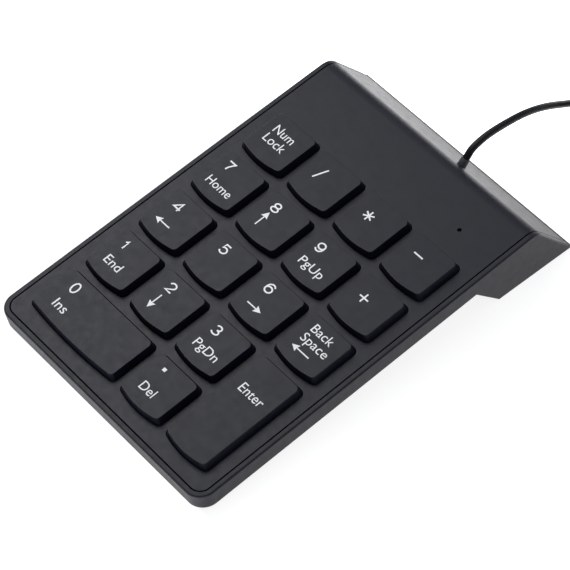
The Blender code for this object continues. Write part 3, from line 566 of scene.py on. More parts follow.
# ---- camera, floor and light
CAMERA_PLACE = (0.339342, -0.303268, 0.594891)
CAMERA_TURN = (37.3765, -0.3081, 48.7100)   # degrees about x, y and z
CAMERA_LENS = 170.50
FLOOR_HALF = 3.0


def build_camera():
    data = bpy.data.cameras.new("camera")
    data.lens = CAMERA_LENS
    data.sensor_width = 36.0
    data.clip_start = 0.01
    camera = bpy.data.objects.new("camera", data)
    camera.location = CAMERA_PLACE
    camera.rotation_euler = Euler([math.radians(a) for a in CAMERA_TURN])
    bpy.context.scene.collection.objects.link(camera)
    bpy.context.scene.camera = camera


def build_floor():
    """A pale floor that glows a little, more behind the case and in front of it."""
    bm = bmesh.new()
    sides = ((-1.0, -1.0), (1.0, -1.0), (1.0, 1.0), (-1.0, 1.0))
    bm.faces.new([bm.verts.new((x * FLOOR_HALF, y * FLOOR_HALF, 0.0)) for x, y in sides])
    mat, shader = new_material("studio_floor", 0.9)
    coords = place_coords(mat)
    colors = ((0.34, 0.34, 0.34), (0.36, 0.36, 0.36))
    join(mat, mottled(mat, coords, 60.0, colors), shader.inputs["Base Color"])
    shader.inputs["Specular IOR Level"].default_value = 0.1
    shader.inputs["Emission Color"].default_value = (1.0, 1.0, 1.0, 1.0)
    place = node(mat, "SeparateXYZ")
    join(mat, coords, place.inputs["Vector"])
    aside = math_node(mat, "MULTIPLY", place.outputs["X"], 0.4)
    behind = math_node(mat, "SUBTRACT", place.outputs["Y"], aside)
    back_glow = span(mat, behind, 0.86, 2.7, 0.05, 0.10)
    front_glow = span(mat, place.outputs["Y"], 2.1, 0.0, -0.084, -0.066)
    join(mat, math_node(mat, "ADD", back_glow, front_glow), shader.inputs["Emission Strength"])
    link_mesh("studio_floor", to_mesh("studio_floor", bm), mat)


def area_light(name, place, aim, size, power):
    data = bpy.data.lights.new(name, "AREA")
    data.shape = "RECTANGLE"
    data.size, data.size_y = size, size
    data.energy = power
    item = bpy.data.objects.new(name, data)
    item.location = place
    item.rotation_mode = "QUATERNION"
    item.rotation_quaternion = (Vector(aim) - Vector(place)).to_track_quat("-Z", "Y")
    item.visible_camera = False
    bpy.context.scene.collection.objects.link(item)


def build_light():
    world = bpy.data.worlds.new("studio")
    world.use_nodes = True
    background = world.node_tree.nodes["Background"]
    background.inputs["Color"].default_value = (0.86, 0.93, 1.0, 1.0)
    background.inputs["Strength"].default_value = 0.32
    bpy.context.scene.world = world
    area_light("overhead_softbox", (-0.50, 0.20, 1.00), (0.0, 0.0, 0.0), 1.6, 7.4)
    area_light("front_left_softbox", (-0.26, 0.02, 0.40), (-0.03, -0.05, 0.0), 0.22, 0.68)
    bpy.context.scene.view_settings.view_transform = "Standard"
    bpy.context.scene.view_settings.look = "None"


# ---- cord
CORD_D = 0.0022
CORD_GRIP = 0.00002         # how far the sleeve's bore presses into the cord
BACK_EXIT = 0.0062          # the cord's hole, down the back face
RELIEF_RISE = math.radians(50.0)
RELIEF_LENGTH = 0.0035
COLLAR_R = 0.0024           # the sleeve's collar, inside the back face
COLLAR_START = -0.0029
COLLAR_END = -0.0019
SLEEVE_R = 0.00134
SLEEVE_TIP_R = 0.00130
SLEEVE_TAPER = 0.0012       # where the sleeve starts to narrow
SLEEVE_LENGTH = 0.0023
SLEEVE_EDGE = 0.00015
SLEEVE_GAP = 0.00012        # round the sleeve, in the cover's hole
TIE_WIRE_R = 0.00026
TIE_PROUD = 0.00013         # ribbon's face below the wire's ridge
TIE_RIBBON = 0.00026
TIE_CORNER = 0.0012
TIE_TURNS = 3
TIE_SPREAD = 0.00024
TIE_TAIL = 0.0075
TIE_SUNK = 0.0001           # the twist starts this far under the band's top
TWIST_STEPS = 16            # points in a turn of the twist
COIL_COLUMNS = 4
COIL_LAYERS = 4
COIL_STEPS = 60             # points in a turn
CHANGE_MARGIN = 0.004       # share of a turn kept free at each end of a change of place

# The free stretch past the sleeve: how far behind its start, and how far above it.
FREE_ROUTE = (
    (0.0034, 0.0022), (0.0068, 0.0028), (0.0112, 0.0027), (0.0160, 0.0021), (0.0210, 0.0011),
    (0.0260, -0.0006), (0.0310, -0.0030), (0.0360, -0.0060), (0.0410, -0.0092), (0.0460, -0.0120),
    (0.0505, -0.0137),
)
COIL_APPROACH = ((0.0066, 0.00066), (0.0044, 0.00012), (0.0022, 0.00002))   # the same, before the coil
TAIL_LEAVES = (0.0045, -0.0001)                         # the tail past the coil,
TAIL_CROSSES = ((0.0, -0.0006), (0.0040, -0.0015))      # over the coil's rim
TAIL_LANDS = ((0.0090, 0.0015), (0.0140, 0.0003))       # and down to the plug's height
TAIL_END = 0.0040           # the cord's end inside the plug


def box_middle(name):
    low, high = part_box(name)
    return (low + high) / 2.0


def upright(y, z):
    """Deck y, z in the upright frame."""
    turned_y, turned_z = rotated(y, z)
    return turned_y + DECK_Y, turned_z + DECK_Z


def exit_point():
    point = Vector((0.0, CASE_BACK, 0.0)) + BACK_DIR * BACK_EXIT
    return Vector((box_middle("strain_relief").x, *upright(point.y, point.z)))


RELIEF_AXIS = Vector((0.0, math.cos(RELIEF_RISE), math.sin(RELIEF_RISE)))
EXIT = exit_point()


def smooth_step(t):
    return t * t * (3.0 - 2.0 * t)


def smooth_curve(points, steps):
    """Points on a smooth curve through the given ones (Catmull-Rom)."""
    line = [points[0] * 2.0 - points[1], *points, points[-1] * 2.0 - points[-2]]
    out = []
    for a, b, c, d in zip(line, line[1:], line[2:], line[3:]):
        for i in range(steps):
            t = i / steps
            bend = 2.0 * a - 5.0 * b + 4.0 * c - d
            out.append(0.5 * (2.0 * b + (c - a) * t + bend * t * t + (3.0 * b - a - 3.0 * c + d) * t ** 3))
    out.append(points[-1])
    return out


def coil_state(number, lift):
    """Radius and height of a turn: each layer runs across the coil, the other way from the one below."""
    layer, place = divmod(number, COIL_COLUMNS)
    inward = place if layer % 2 == 0 else COIL_COLUMNS - 1 - place
    low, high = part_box("cord_coil")
    outer = (high.x - low.x) / 2.0 - CORD_D / 2.0
    return outer - inward * CORD_D, lift + CORD_D * (layer + 0.5)


def change_window(number):
    """Shares of its turn between which a strand moves to the next place: no two strands meet."""
    layer, place = divmod(number, COIL_COLUMNS)
    climbs = place == COIL_COLUMNS - 1
    order = 2 * (COIL_LAYERS - 1 - layer) - (1 if climbs else 0)
    width = 1.0 / (2 * COIL_LAYERS - 1)
    return order * width + CHANGE_MARGIN, (order + 1) * width - CHANGE_MARGIN


def coil_points():
    """The coil's centreline, from the table up, entered and left on its left side heading backwards."""
    center = box_middle("cord_coil")
    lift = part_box("cord_coil")[0].z
    turns = COIL_COLUMNS * COIL_LAYERS - 1
    points = []
    for step in range(turns * COIL_STEPS + 1):
        number = min(step // COIL_STEPS, turns - 1)
        share = (step - number * COIL_STEPS) / COIL_STEPS
        start, end = change_window(number)
        t = smooth_step(min(1.0, max(0.0, (share - start) / (end - start))))
        here, following = (coil_state(n, lift) for n in (number, number + 1))
        radius, height = (a + (b - a) * t for a, b in zip(here, following))
        angle = math.pi - 2.0 * math.pi * share
        x, y = radius * math.cos(angle), radius * math.sin(angle)
        points.append(Vector((center.x + x, center.y + y, height)))
    return points


def cord_route():
    """The free stretch to the coil, the coil, and the tail to the plug."""
    start = EXIT + RELIEF_AXIS * (RELIEF_LENGTH + GAP)
    x = start.x
    coil = coil_points()
    meet, leave = coil[0], coil[-1]
    low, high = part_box("cord_end")
    plug_z = low.z + CORD_D / 2.0
    free = [EXIT + RELIEF_AXIS * along for along in (-0.0020, 0.0018)]
    free += [start, start + RELIEF_AXIS * 0.0016]
    free += [Vector((x, start.y + back, start.z + up)) for back, up in FREE_ROUTE]
    free += [Vector((x, meet.y - short, meet.z + up)) for short, up in COIL_APPROACH]
    free.append(meet)
    tail = [leave, Vector((leave.x, leave.y + TAIL_LEAVES[0], leave.z + TAIL_LEAVES[1]))]
    tail += [Vector((x, low.y + back, leave.z + up)) for back, up in TAIL_CROSSES]
    tail += [Vector((x, low.y + back, plug_z + up)) for back, up in TAIL_LANDS]
    tail += [Vector((x, high.y + back, plug_z)) for back in (0.0, TAIL_END)]
    return smooth_curve(free, 5)[:-1] + coil + smooth_curve(tail, 6)[1:]


def build_cord():
    points = cord_route()
    curve = bpy.data.curves.new("usb_cord", "CURVE")
    curve.dimensions = "3D"
    curve.bevel_depth = CORD_D / 2.0
    curve.bevel_resolution = 5
    curve.use_fill_caps = True
    spline = curve.splines.new("POLY")
    spline.points.add(len(points) - 1)
    for slot, point in zip(spline.points, points):
        slot.co = (*point, 1.0)
    spline.use_smooth = True
    curve.materials.append(MATERIALS["cord"])
    item = bpy.data.objects.new("usb_cord", curve)
    bpy.context.scene.collection.objects.link(item)
    return declare(item, "case", ("cord", "cord_coil", "cord_end"))


def build_relief():
    """A short moulded sleeve with a collar behind the back face, a taper and a rounded mouth."""
    bore = CORD_D / 2.0 - CORD_GRIP
    mouth = SLEEVE_LENGTH - SLEEVE_EDGE
    profile = [(bore, COLLAR_START), (COLLAR_R, COLLAR_START), (COLLAR_R, COLLAR_END)]
    profile += [(SLEEVE_R, COLLAR_END), (SLEEVE_R, SLEEVE_TAPER)]
    profile += arc(SLEEVE_TIP_R - SLEEVE_EDGE, mouth, SLEEVE_EDGE, 0.0, 90.0, 4)
    profile += [(bore, mouth + SLEEVE_EDGE)]
    along_axis = Matrix.Translation(EXIT) @ Matrix.Rotation(RELIEF_RISE - math.pi / 2.0, 4, "X")
    bm = bmesh.new()
    turned(bm, profile, 40, along_axis, closed=True)
    return add_piece("cord_sleeve", bm, "relief", replaces=("strain_relief",))


def build_tie():
    """A twist tie round the coil: a flat ribbon over a wire, its ends twisted together on top."""
    low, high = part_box("coil_tie")
    half = (high.y - low.y) / 2.0
    middle = (low + high) / 2.0

    def band_outline(inset):
        """Closed outline in x, z of the tie's band, drawn in from its box by inset."""
        sides = (low.x + inset, high.x - inset, low.z + inset, high.z - inset)
        return box_outline(*sides, TIE_CORNER - inset)

    outlines = [band_outline(TIE_PROUD + TIE_RIBBON * share) for share in (0.0, 0.5, 1.0)]
    edge = half - TIE_RIBBON / 2.0
    order = ((0, -edge), (0, edge), (1, half), (2, edge), (2, -edge), (1, -half))
    bm = bmesh.new()
    add_rings(bm, [[(x, middle.y + y, z) for x, z in outlines[k]] for k, y in order], closed=True)
    core = [Vector((x, middle.y, z)) for x, z in band_outline(TIE_WIRE_R)]
    add_tube(bm, core, TIE_WIRE_R, 12, closed=True)
    base = Vector((middle.x, middle.y, high.z - TIE_SUNK + TIE_SPREAD))
    steps = TIE_TURNS * TWIST_STEPS
    for start in (0.0, math.pi):
        strand = []
        for i in range(steps + 1):
            angle = start + i / steps * 2.0 * math.pi * TIE_TURNS
            spin = Vector((TIE_SPREAD * math.cos(angle), TIE_TAIL * i / steps, TIE_SPREAD * math.sin(angle)))
            strand.append(base + spin)
        add_tube(bm, strand, TIE_WIRE_R, 12)
    return add_piece("cord_tie", bm, "tie", replaces=("coil_tie",), sharp=50.0)


def add_tube(bm, path, radius, sides, closed=False):
    """A round tube along a dense path, its rings carried along without twist."""
    count = len(path)
    rings = []
    side = None
    for i, point in enumerate(path):
        before = path[i - 1] if i or closed else path[i]
        after = path[(i + 1) % count] if i + 1 < count or closed else path[i]
        run = (after - before).normalized()
        if side is None:
            side = run.orthogonal().normalized()
        side = (side - run * side.dot(run)).normalized()
        up = run.cross(side)
        turns = [2.0 * math.pi * k / sides for k in range(sides)]
        rings.append([point + (side * math.cos(a) + up * math.sin(a)) * radius for a in turns])
    add_rings(bm, rings, closed)


# ---- plug: starts are measured from the front end of its boot
PLUG_HALF_X = 0.0078
PLUG_HALF_Z = 0.0040
PLUG_CORNER = 0.0022
PLUG_EDGE = 0.0006
BOOT_START = ((0.00112, 0.00110, 0.0006), (0.00150, 0.00148, 0.0), (0.00170, 0.00166, 0.0002))
RIBS = 5
RIB_START = 0.0010
RIB_PITCH = 0.0013
RIB_HALF = 0.0019
RIB_GROWTH = 0.00014        # each rib is this much thicker than the one before
RIB_ROUND = 0.93            # a rib's corner radius by its half width
RIB_STEPS = (               # along a rib, and out from its face
    (0.0, 0.0), (0.0001, 0.0001), (0.0007, 0.0001), (0.0008, 0.0), (0.0009, -0.0003), (0.0012, -0.0003),
)
NECK_HALF = 0.0027
NECK_CORNER = 0.0023
NECK_START = 0.0078
NECK_LENGTH = 0.0040
NECK_STEPS = 6
GRIP_START = 0.0130
GROOVES = 5
GROOVE_START = 0.0165
GROOVE_PITCH = 0.0021
GROOVE_WIDTH = 0.0009
GROOVE_HALF = 0.0045
GROOVE_DEPTH = 0.00035
GRIP_BEVEL = 0.00012
SHELL_HALF_X = 0.0060
SHELL_HALF_Z = 0.00225
SHELL_SKIN = 0.0003
SHELL_LIP = 0.0001
SHELL_ROOT = 0.0012         # length of the shell inside the grip
WINDOW_X = 0.0030
WINDOW_Y = 0.0062
WINDOW_HALF = 0.00105
WINDOW_CUT = 0.0005
TONGUE_HALF_X = 0.00555
TONGUE_HALF_Z = 0.0009
TONGUE_LOW = -0.0008        # the tongue's middle, under the plug's
TONGUE_EDGE = 0.00015
CONTACT_HALF = 0.0005
CONTACT_HEIGHTS = (0.00008, 0.0002)
CONTACTS = ((-0.0035, 0.0002), (-0.0010, 0.0008), (0.0010, 0.0008), (0.0035, 0.0002))   # x, set back


def grip_rings(boot, end):
    rings = [rounded_rect(half, half, radius, boot + dy) for half, radius, dy in BOOT_START]
    for i in range(RIBS):
        for dy, out in RIB_STEPS:
            half = RIB_HALF + RIB_GROWTH * i + out
            rings.append(rounded_rect(half, half, half * RIB_ROUND, boot + RIB_START + RIB_PITCH * i + dy))
    for i in range(NECK_STEPS + 1):
        ease = smooth_step(i / NECK_STEPS)
        half_x, half_z = (NECK_HALF + (full - NECK_HALF) * ease for full in (PLUG_HALF_X, PLUG_HALF_Z))
        y = boot + NECK_START + NECK_LENGTH * i / NECK_STEPS
        rings.append(rounded_rect(half_x, half_z, NECK_CORNER, y))
    rings.append(rounded_rect(PLUG_HALF_X, PLUG_HALF_Z, PLUG_CORNER, boot + GRIP_START))
    for inset, short in reversed(rim_profile(PLUG_EDGE, 5, 0.0)[1:]):
        rings.append(rounded_rect(PLUG_HALF_X - inset, PLUG_HALF_Z - inset, PLUG_CORNER - inset, end - short))
    return rings


def build_grip(place):
    """The plug's ribbed boot and its grip, with grooves on both faces."""
    low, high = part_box("plug_grip")
    bm = bmesh.new()
    add_rings(bm, grip_rings(low.y, high.y))
    grip = add_piece("usb_plug_grip", bm, "plug", matrix=place, replaces=("plug_grip",))
    grooves = bmesh.new()
    x, z = (low.x + high.x) / 2.0, (low.z + high.z) / 2.0
    for face in (z - PLUG_HALF_Z, z + PLUG_HALF_Z):
        for i in range(GROOVES):
            y = low.y + GROOVE_START + GROOVE_PITCH * i
            corner = (x + GROOVE_HALF, y + GROOVE_WIDTH, face + GROOVE_DEPTH)
            add_box(grooves, (x - GROOVE_HALF, y, face - GROOVE_DEPTH), corner)
    cut_with(grip, to_mesh("grip_grooves", grooves))
    bevel(grip, GRIP_BEVEL, 50.0)
    finish_shading(grip.data)
    return grip


def build_shell(place, root, tip, windows_y):
    """The plug's metal shell, with four windows and the seam under it."""

    def ring(inset, radius, y):
        return rounded_rect(SHELL_HALF_X - inset, SHELL_HALF_Z - inset, radius, y)

    inner = SHELL_SKIN - SHELL_LIP
    rings = [ring(0.0, 0.0006, root), ring(0.0, 0.0006, tip - SHELL_LIP), ring(SHELL_LIP, 0.0005, tip)]
    rings += [ring(inner, 0.0004, tip), ring(SHELL_SKIN, 0.0003, tip - SHELL_LIP)]
    rings.append(ring(SHELL_SKIN, 0.0003, root + 0.0008))
    bm = bmesh.new()
    add_rings(bm, rings)
    shell = add_piece("usb_plug_shell", bm, "nickel", matrix=place,
                      replaces=("plug_shell",))
    cuts = bmesh.new()
    half = Vector((WINDOW_HALF, WINDOW_HALF, WINDOW_CUT))
    for z in (-SHELL_HALF_Z, SHELL_HALF_Z):
        for x in (-WINDOW_X, WINDOW_X):
            middle = Vector((x, windows_y, z))
            add_box(cuts, middle - half, middle + half)
    seam = ((-0.00005, root + 0.0015, -SHELL_HALF_Z - 0.0002), (0.00005, tip + 0.001, 0.00012 - SHELL_HALF_Z))
    add_box(cuts, *seam)
    cut_with(shell, to_mesh("shell_windows", cuts, place))
    finish_shading(shell.data)
    return shell


def build_tongue(place, root, tip):
    """The insulator inside the shell and its four contacts."""
    bm = bmesh.new()
    rings = []
    for inset, y in ((0.0, root + 0.0009), (0.0, tip - 0.0006), (TONGUE_EDGE, tip - 0.0004)):
        radius = 0.00015 if inset == 0.0 else 0.0001
        rings.append(rounded_rect(TONGUE_HALF_X - inset, TONGUE_HALF_Z - inset, radius, y, TONGUE_LOW))
    add_rings(bm, rings)
    insulator = add_piece("usb_plug_tongue", bm, "tongue", matrix=place)
    bm = bmesh.new()
    foot, head = CONTACT_HEIGHTS
    for x, short in CONTACTS:
        far = (x + CONTACT_HALF, tip - 0.0012 - short, head)
        add_box(bm, (x - CONTACT_HALF, root + 0.0012, foot), far)
    return [insulator, add_piece("usb_plug_contacts", bm, "gold", matrix=place)]


def build_plug():
    low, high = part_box("plug_grip")
    place = Matrix.Translation(((low.x + high.x) / 2.0, 0.0, (low.z + high.z) / 2.0))
    low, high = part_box("plug_shell")
    root = low.y - SHELL_ROOT
    grip = build_grip(place)
    shell = build_shell(place, root, high.y, low.y + WINDOW_Y)
    return [grip, shell, *build_tongue(place, root, high.y)]


# ---- case
COVER_TURN = math.atan2(1.0, BACK_LEAN)
BEND_TANGENT = BEND_R * math.tan(COVER_TURN / 2.0)
BEND_START = CASE_BACK - BEND_TANGENT
BEND_LENGTH = BEND_R * COVER_TURN


def corner_path(half, front, radius):
    """Right half of the plan outline from the front edge round its corner."""
    return arc(half - radius, front + radius, radius, -90.0, 0.0, CORNER_STEPS)


def on_back(distance_up, lift=0.0):
    """Deck y, z of a point on the back face, measured up the slope from its foot."""
    point = Vector((0.0, *BACK_FOOT)) - BACK_DIR * distance_up - BACK_NORMAL * lift
    return point.y, point.z


def up_back(height):
    """Distance up the back face of a point by its height over the underside."""
    return height / BACK_CLIMB


def bend_points(lift=0.0):
    """Deck y, z along the rounded back edge, at a depth of lift under the skin."""
    turns = [COVER_TURN * i / BEND_STEPS for i in range(BEND_STEPS + 1)]
    reach = BEND_R - lift
    points = [(BEND_START + reach * math.sin(a), reach * math.cos(a) - BEND_R) for a in turns]
    before = (points[0][0] - HOLD, points[0][1])
    after = (points[-1][0] + BACK_DIR.y * HOLD, points[-1][1] + BACK_DIR.z * HOLD)
    return [before, *points, after]


def hold_ring(foot, top):
    """A ring a little way up the wall, so that the foot's rounding doesn't shade the whole wall."""
    ring = []
    for low, high in zip(foot, top):
        run = Vector(high) - Vector(low)
        ring.append(tuple(Vector(low) + run * (FOOT_HOLD / run.length)))
    return ring


def wall_ring(half, front, radius, drop):
    """Right half of a ring of the case's rim, at a depth of drop under the deck's face."""
    path = [(x, y, -drop) for x, y in corner_path(half, front, radius)]
    path += [(half, RISER_START, -drop), (half, RISER_FOOT[0], -drop)]
    path += [(half, y, z) for y, z in bend_points(drop)]
    return path + [(half, *on_back(REAR_LIP, drop))]


def along_riser(half, start_y, end_y, lift):
    steps = BEND_STEPS + 4
    ys = [start_y + (end_y - start_y) * i / steps for i in range(steps + 1)]
    return [(half, y, UNDER - y * TAN + lift) for y in ys]


def case_rings():
    """The case's rings from its outer foot, over the rounded rim, to the inner floor, right half of each."""
    foot = level(corner_path(CASE_HALF, DRAWN_FRONT_FOOT, CORNER_R), -SLAB)
    foot.append((CASE_HALF, RISER_START, -SLAB))
    drop = DRAWN_DROP / COS
    start_y = meet_underside(RISER_START, -SLAB, RISER_LEAN, UNDER - drop)[0]
    end_y = meet_underside(CASE_BACK, 0.0, BACK_LEAN, UNDER - drop)[0]
    foot += along_riser(CASE_HALF, start_y, end_y, -drop)
    top = wall_ring(CASE_HALF, CASE_FRONT, CORNER_R, RIM_R + HOLD)
    rings = [foot, hold_ring(foot, top), top]
    for inset, drop in reversed(rim_profile(RIM_R, EDGE_STEPS, RIM_HOLD)):
        rings.append(wall_ring(CASE_HALF - inset, CASE_FRONT + inset, CORNER_R - inset, drop))
    half = CASE_HALF - WALL
    front = CASE_FRONT + WALL + FRONT_EXTRA
    radius = CORNER_R - WALL
    for out, drop in rim_profile(GROOVE_R, GROOVE_STEPS, RIM_HOLD):
        rings.append(wall_ring(half + out, front - out, radius + out, drop))
    floor_z = -SLAB + FLOOR
    floor = level(corner_path(half, front, radius), floor_z)
    floor.append((half, RISER_START + RISER_SKIN, floor_z))
    far_y = on_back(up_back(RISER_FLOOR))[0]
    floor += along_riser(half, RISER_FOOT[0] + RISER_SKIN, far_y, RISER_FLOOR)
    rings.append(floor)
    return rings


def case_bmesh():
    """The case's skin from its rings and their mirror images."""
    bm = bmesh.new()
    edge_layer(bm)
    rings = case_rings()
    worn = range(4, EDGE_STEPS + 2)     # the rings on the outer rounding, less its two ends
    right = [new_loop(bm, ring, number in worn) for number, ring in enumerate(rings)]
    mirrored = [[(-x, y, z) for x, y, z in ring] for ring in rings]
    left = [new_loop(bm, ring, number in worn) for number, ring in enumerate(mirrored)]
    for r_low, r_high, l_low, l_high in zip(right, right[1:], left, left[1:]):
        for i in range(len(r_low) - 1):
            bm.faces.new((r_low[i], r_low[i + 1], r_high[i + 1], r_high[i]))
            bm.faces.new((l_low[i + 1], l_low[i], l_high[i], l_high[i + 1]))
        bm.faces.new((l_low[0], r_low[0], r_high[0], l_high[0]))
    for ring, twin in ((right[0], left[0]), (right[-1], left[-1])):
        for i in range(len(ring) - 1):
            bm.faces.new((ring[i], twin[i], twin[i + 1], ring[i + 1]))
    bm.faces.new([ring[-1] for ring in right] + [ring[-1] for ring in reversed(left)])
    return bm


def build_case():
    item = link_mesh("case_shell", to_mesh("case_shell", case_bmesh(), DECK_FRAME), MATERIALS["case"])
    bosses = bmesh.new()
    holes = bmesh.new()
    head_r, shank_r = SCREW_HEAD_R + GAP, SCREW_R + GAP
    for x in (-SCREW_X, SCREW_X):
        place = Matrix.Translation((x, SCREW_Y, 0.0))
        turned(bosses, [(BOSS_R, SCREW_FACE + BOSS_FOOT), (BOSS_R, SCREW_SEAT + BOSS_ROOF)], 32, place)
        hole = [(head_r, SCREW_FACE - CUT_PAST), (head_r, SCREW_SEAT)]
        hole += [(shank_r, SCREW_SEAT), (shank_r, SCREW_SEAT + CUT_PAST)]
        turned(holes, hole, 32, place)
    cut_with(item, to_mesh("bosses", bosses, DECK_FRAME), "UNION")
    cut_with(item, to_mesh("holes", holes, DECK_FRAME))
    recesses = bmesh.new()
    for name in FEET:
        low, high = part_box(name)
        recess = [(FOOT_R + GAP, low.z - FOOT_CUT), (FOOT_R + GAP, high.z + GAP)]
        turned(recesses, recess, 48, foot_place(name))
    cut_with(item, to_mesh("recesses", recesses))
    bevel(item, CASE_BEVEL, 40.0)
    finish_shading(item.data)
    declare(item, "case", ("bottom_case",))


def foot_place(name):
    middle = box_middle(name)
    return Matrix.Translation((middle.x, middle.y, 0.0))


def offset_loop(points, amount):
    """A closed outline moved along its own normals, outwards where amount is positive."""
    corners = [Vector(p) for p in points]
    following = corners[1:] + corners[:1]
    area = sum(a.x * b.y - b.x * a.y for a, b in zip(corners, following))
    sense = 1.0 if area > 0.0 else -1.0
    moved = []
    for i, (here, after) in enumerate(zip(corners, following)):
        runs = ((here - corners[i - 1]).normalized(), (after - here).normalized())
        n1, n2 = (Vector((run.y, -run.x)) * sense for run in runs)
        moved.append(tuple(here + (n1 + n2) / (1.0 + n1.dot(n2)) * amount))
    return moved


def add_plate(bm, outline, holes, thickness, radius):
    """A flat plate under z = 0 with rounded upper edges all round it and round its holes."""
    edge_layer(bm)
    rounding = rim_profile(radius, COVER_EDGE_STEPS, RIM_HOLD)
    top_edges, low_edges = [], []
    for points, inward in [(outline, -1.0)] + [(hole, 1.0) for hole in holes]:
        loops = []
        for number, (inset, depth) in enumerate(rounding):
            ring = level(offset_loop(points, inward * inset), -depth)
            loops.append(new_loop(bm, ring, 1 < number <= COVER_EDGE_STEPS))
        loops.append(new_loop(bm, level(points, -thickness)))
        for high, low in zip(loops, loops[1:]):
            bridge(bm, high, low)
        for loop, edges in ((loops[0], top_edges), (loops[-1], low_edges)):
            edges += [bm.edges.get(pair) for pair in zip(loop, loop[1:] + loop[:1])]
    for edges in (top_edges, low_edges):
        bmesh.ops.triangle_fill(bm, use_beauty=True, use_dissolve=False, edges=edges)


def key_places():
    """Name, middle x, middle y, extra half width and extra half depth of each key."""
    places = []
    for row, names in enumerate(ROW_NAMES):
        for column, name in enumerate(names):
            if name:
                x = (column - (COLUMNS - 1) / 2.0) * PITCH
                places.append((name, x, ROW_Y - row * PITCH, 0.0, 0.0))
    half = PITCH / 2.0
    places.append((WIDE_KEY, -PITCH, ROW_Y - 4.0 * PITCH, half, 0.0))
    places.append((TALL_KEY, 1.5 * PITCH, ROW_Y - 3.5 * PITCH, 0.0, half))
    return places


SLOPE_LENGTH = (Vector((0.0, CASE_BACK, 0.0)) - Vector((0.0, *BACK_FOOT))).length - BEND_TANGENT
COVER_SLOPE = SLOPE_LENGTH - up_back(RISER_FLOOR + GAP)


def bent(point):
    """A point of the flat cover, folded over its back edge and down the slope."""
    past = point.y - BEND_START
    if past <= 0.0:
        return point
    turn = min(past, BEND_LENGTH) / BEND_R
    normal = Vector((0.0, math.sin(turn), math.cos(turn)))
    folded = Vector((point.x, BEND_START, -BEND_R)) + normal * (BEND_R + point.z)
    down = past - BEND_LENGTH
    if down > 0.0:
        spare = -point.z * NORMAL_CLIMB / BACK_CLIMB
        folded += BACK_DIR * (down * (COVER_SLOPE - spare) / COVER_SLOPE)
    return folded


def build_cover():
    """The deck with its openings, folded over into the back face, and its two screw pillars."""
    half = CASE_HALF - WALL - GAP
    front = CASE_FRONT + WALL + FRONT_EXTRA + GAP
    slope_start = BEND_START + BEND_LENGTH
    right = corner_path(half, front, CORNER_R - WALL - GAP) + [(half, slope_start + COVER_SLOPE)]
    outline = right + [(-x, y) for x, y in reversed(right)]
    holes = []
    for _name, x, y, extra_x, extra_y in key_places():
        half_x, half_y = CAP_HALF + extra_x + OPENING_GAP, CAP_HALF + extra_y + OPENING_GAP
        opening = key_outline(half_x, half_y, -half_y, OPENING_R)
        holes.append([(x + px, y + py) for px, py in opening])
    holes.append(circle(LED_HOLE_R, 32, LED_X, LED_Y))
    holes.append(circle(SLEEVE_R + SLEEVE_GAP, 40, EXIT.x, slope_start + BACK_EXIT - BEND_TANGENT))
    bm = bmesh.new()
    add_plate(bm, outline, holes, DECK, DECK_EDGE_R)
    folds = [BEND_START + BEND_LENGTH * i / BEND_STEPS for i in range(BEND_STEPS + 1)]
    for y in [BEND_START - HOLD, *folds, slope_start + HOLD]:
        everything = [*bm.verts, *bm.edges, *bm.faces]
        across = {"plane_co": (0.0, y, 0.0), "plane_no": (0.0, 1.0, 0.0)}
        bmesh.ops.bisect_plane(bm, geom=everything, dist=1e-7, **across)
    for vert in bm.verts:
        vert.co = bent(vert.co.copy())
    low, high = SCREW_SEAT + BOSS_ROOF + GAP, PILLAR_TOP
    pillar = [(PILLAR_R, high), (PILLAR_R, low + PILLAR_EDGE), (PILLAR_R - PILLAR_EDGE, low)]
    pillar += [(SCREW_R, low), (SCREW_R, high)]
    for x in (-SCREW_X, SCREW_X):
        turned(bm, pillar, 32, Matrix.Translation((x, SCREW_Y, 0.0)), closed=True)
    add_piece("deck_cover", bm, "cover", matrix=DECK_FRAME, replaces=("top_cover",))


# ---- keys


def cap_ring(extra_x, extra_y, height, inset):
    """Outline of a cap's wall at a height over the deck, drawn in by inset."""
    lean = max(0.0, height) / CAP_RISE
    half_x = CAP_HALF + extra_x - CAP_INSET * lean - inset
    back = CAP_HALF + extra_y - CAP_INSET * lean - inset
    front = -(CAP_HALF + extra_y) + CAP_FRONT_INSET * lean + inset
    radius = CAP_BASE_R + (CAP_TOP_R - CAP_BASE_R) * lean - inset
    return key_outline(half_x, back, front, max(radius, CAP_LEAST_R))


def scaled(outline, share):
    return [(x * share, y * share) for x, y in outline]


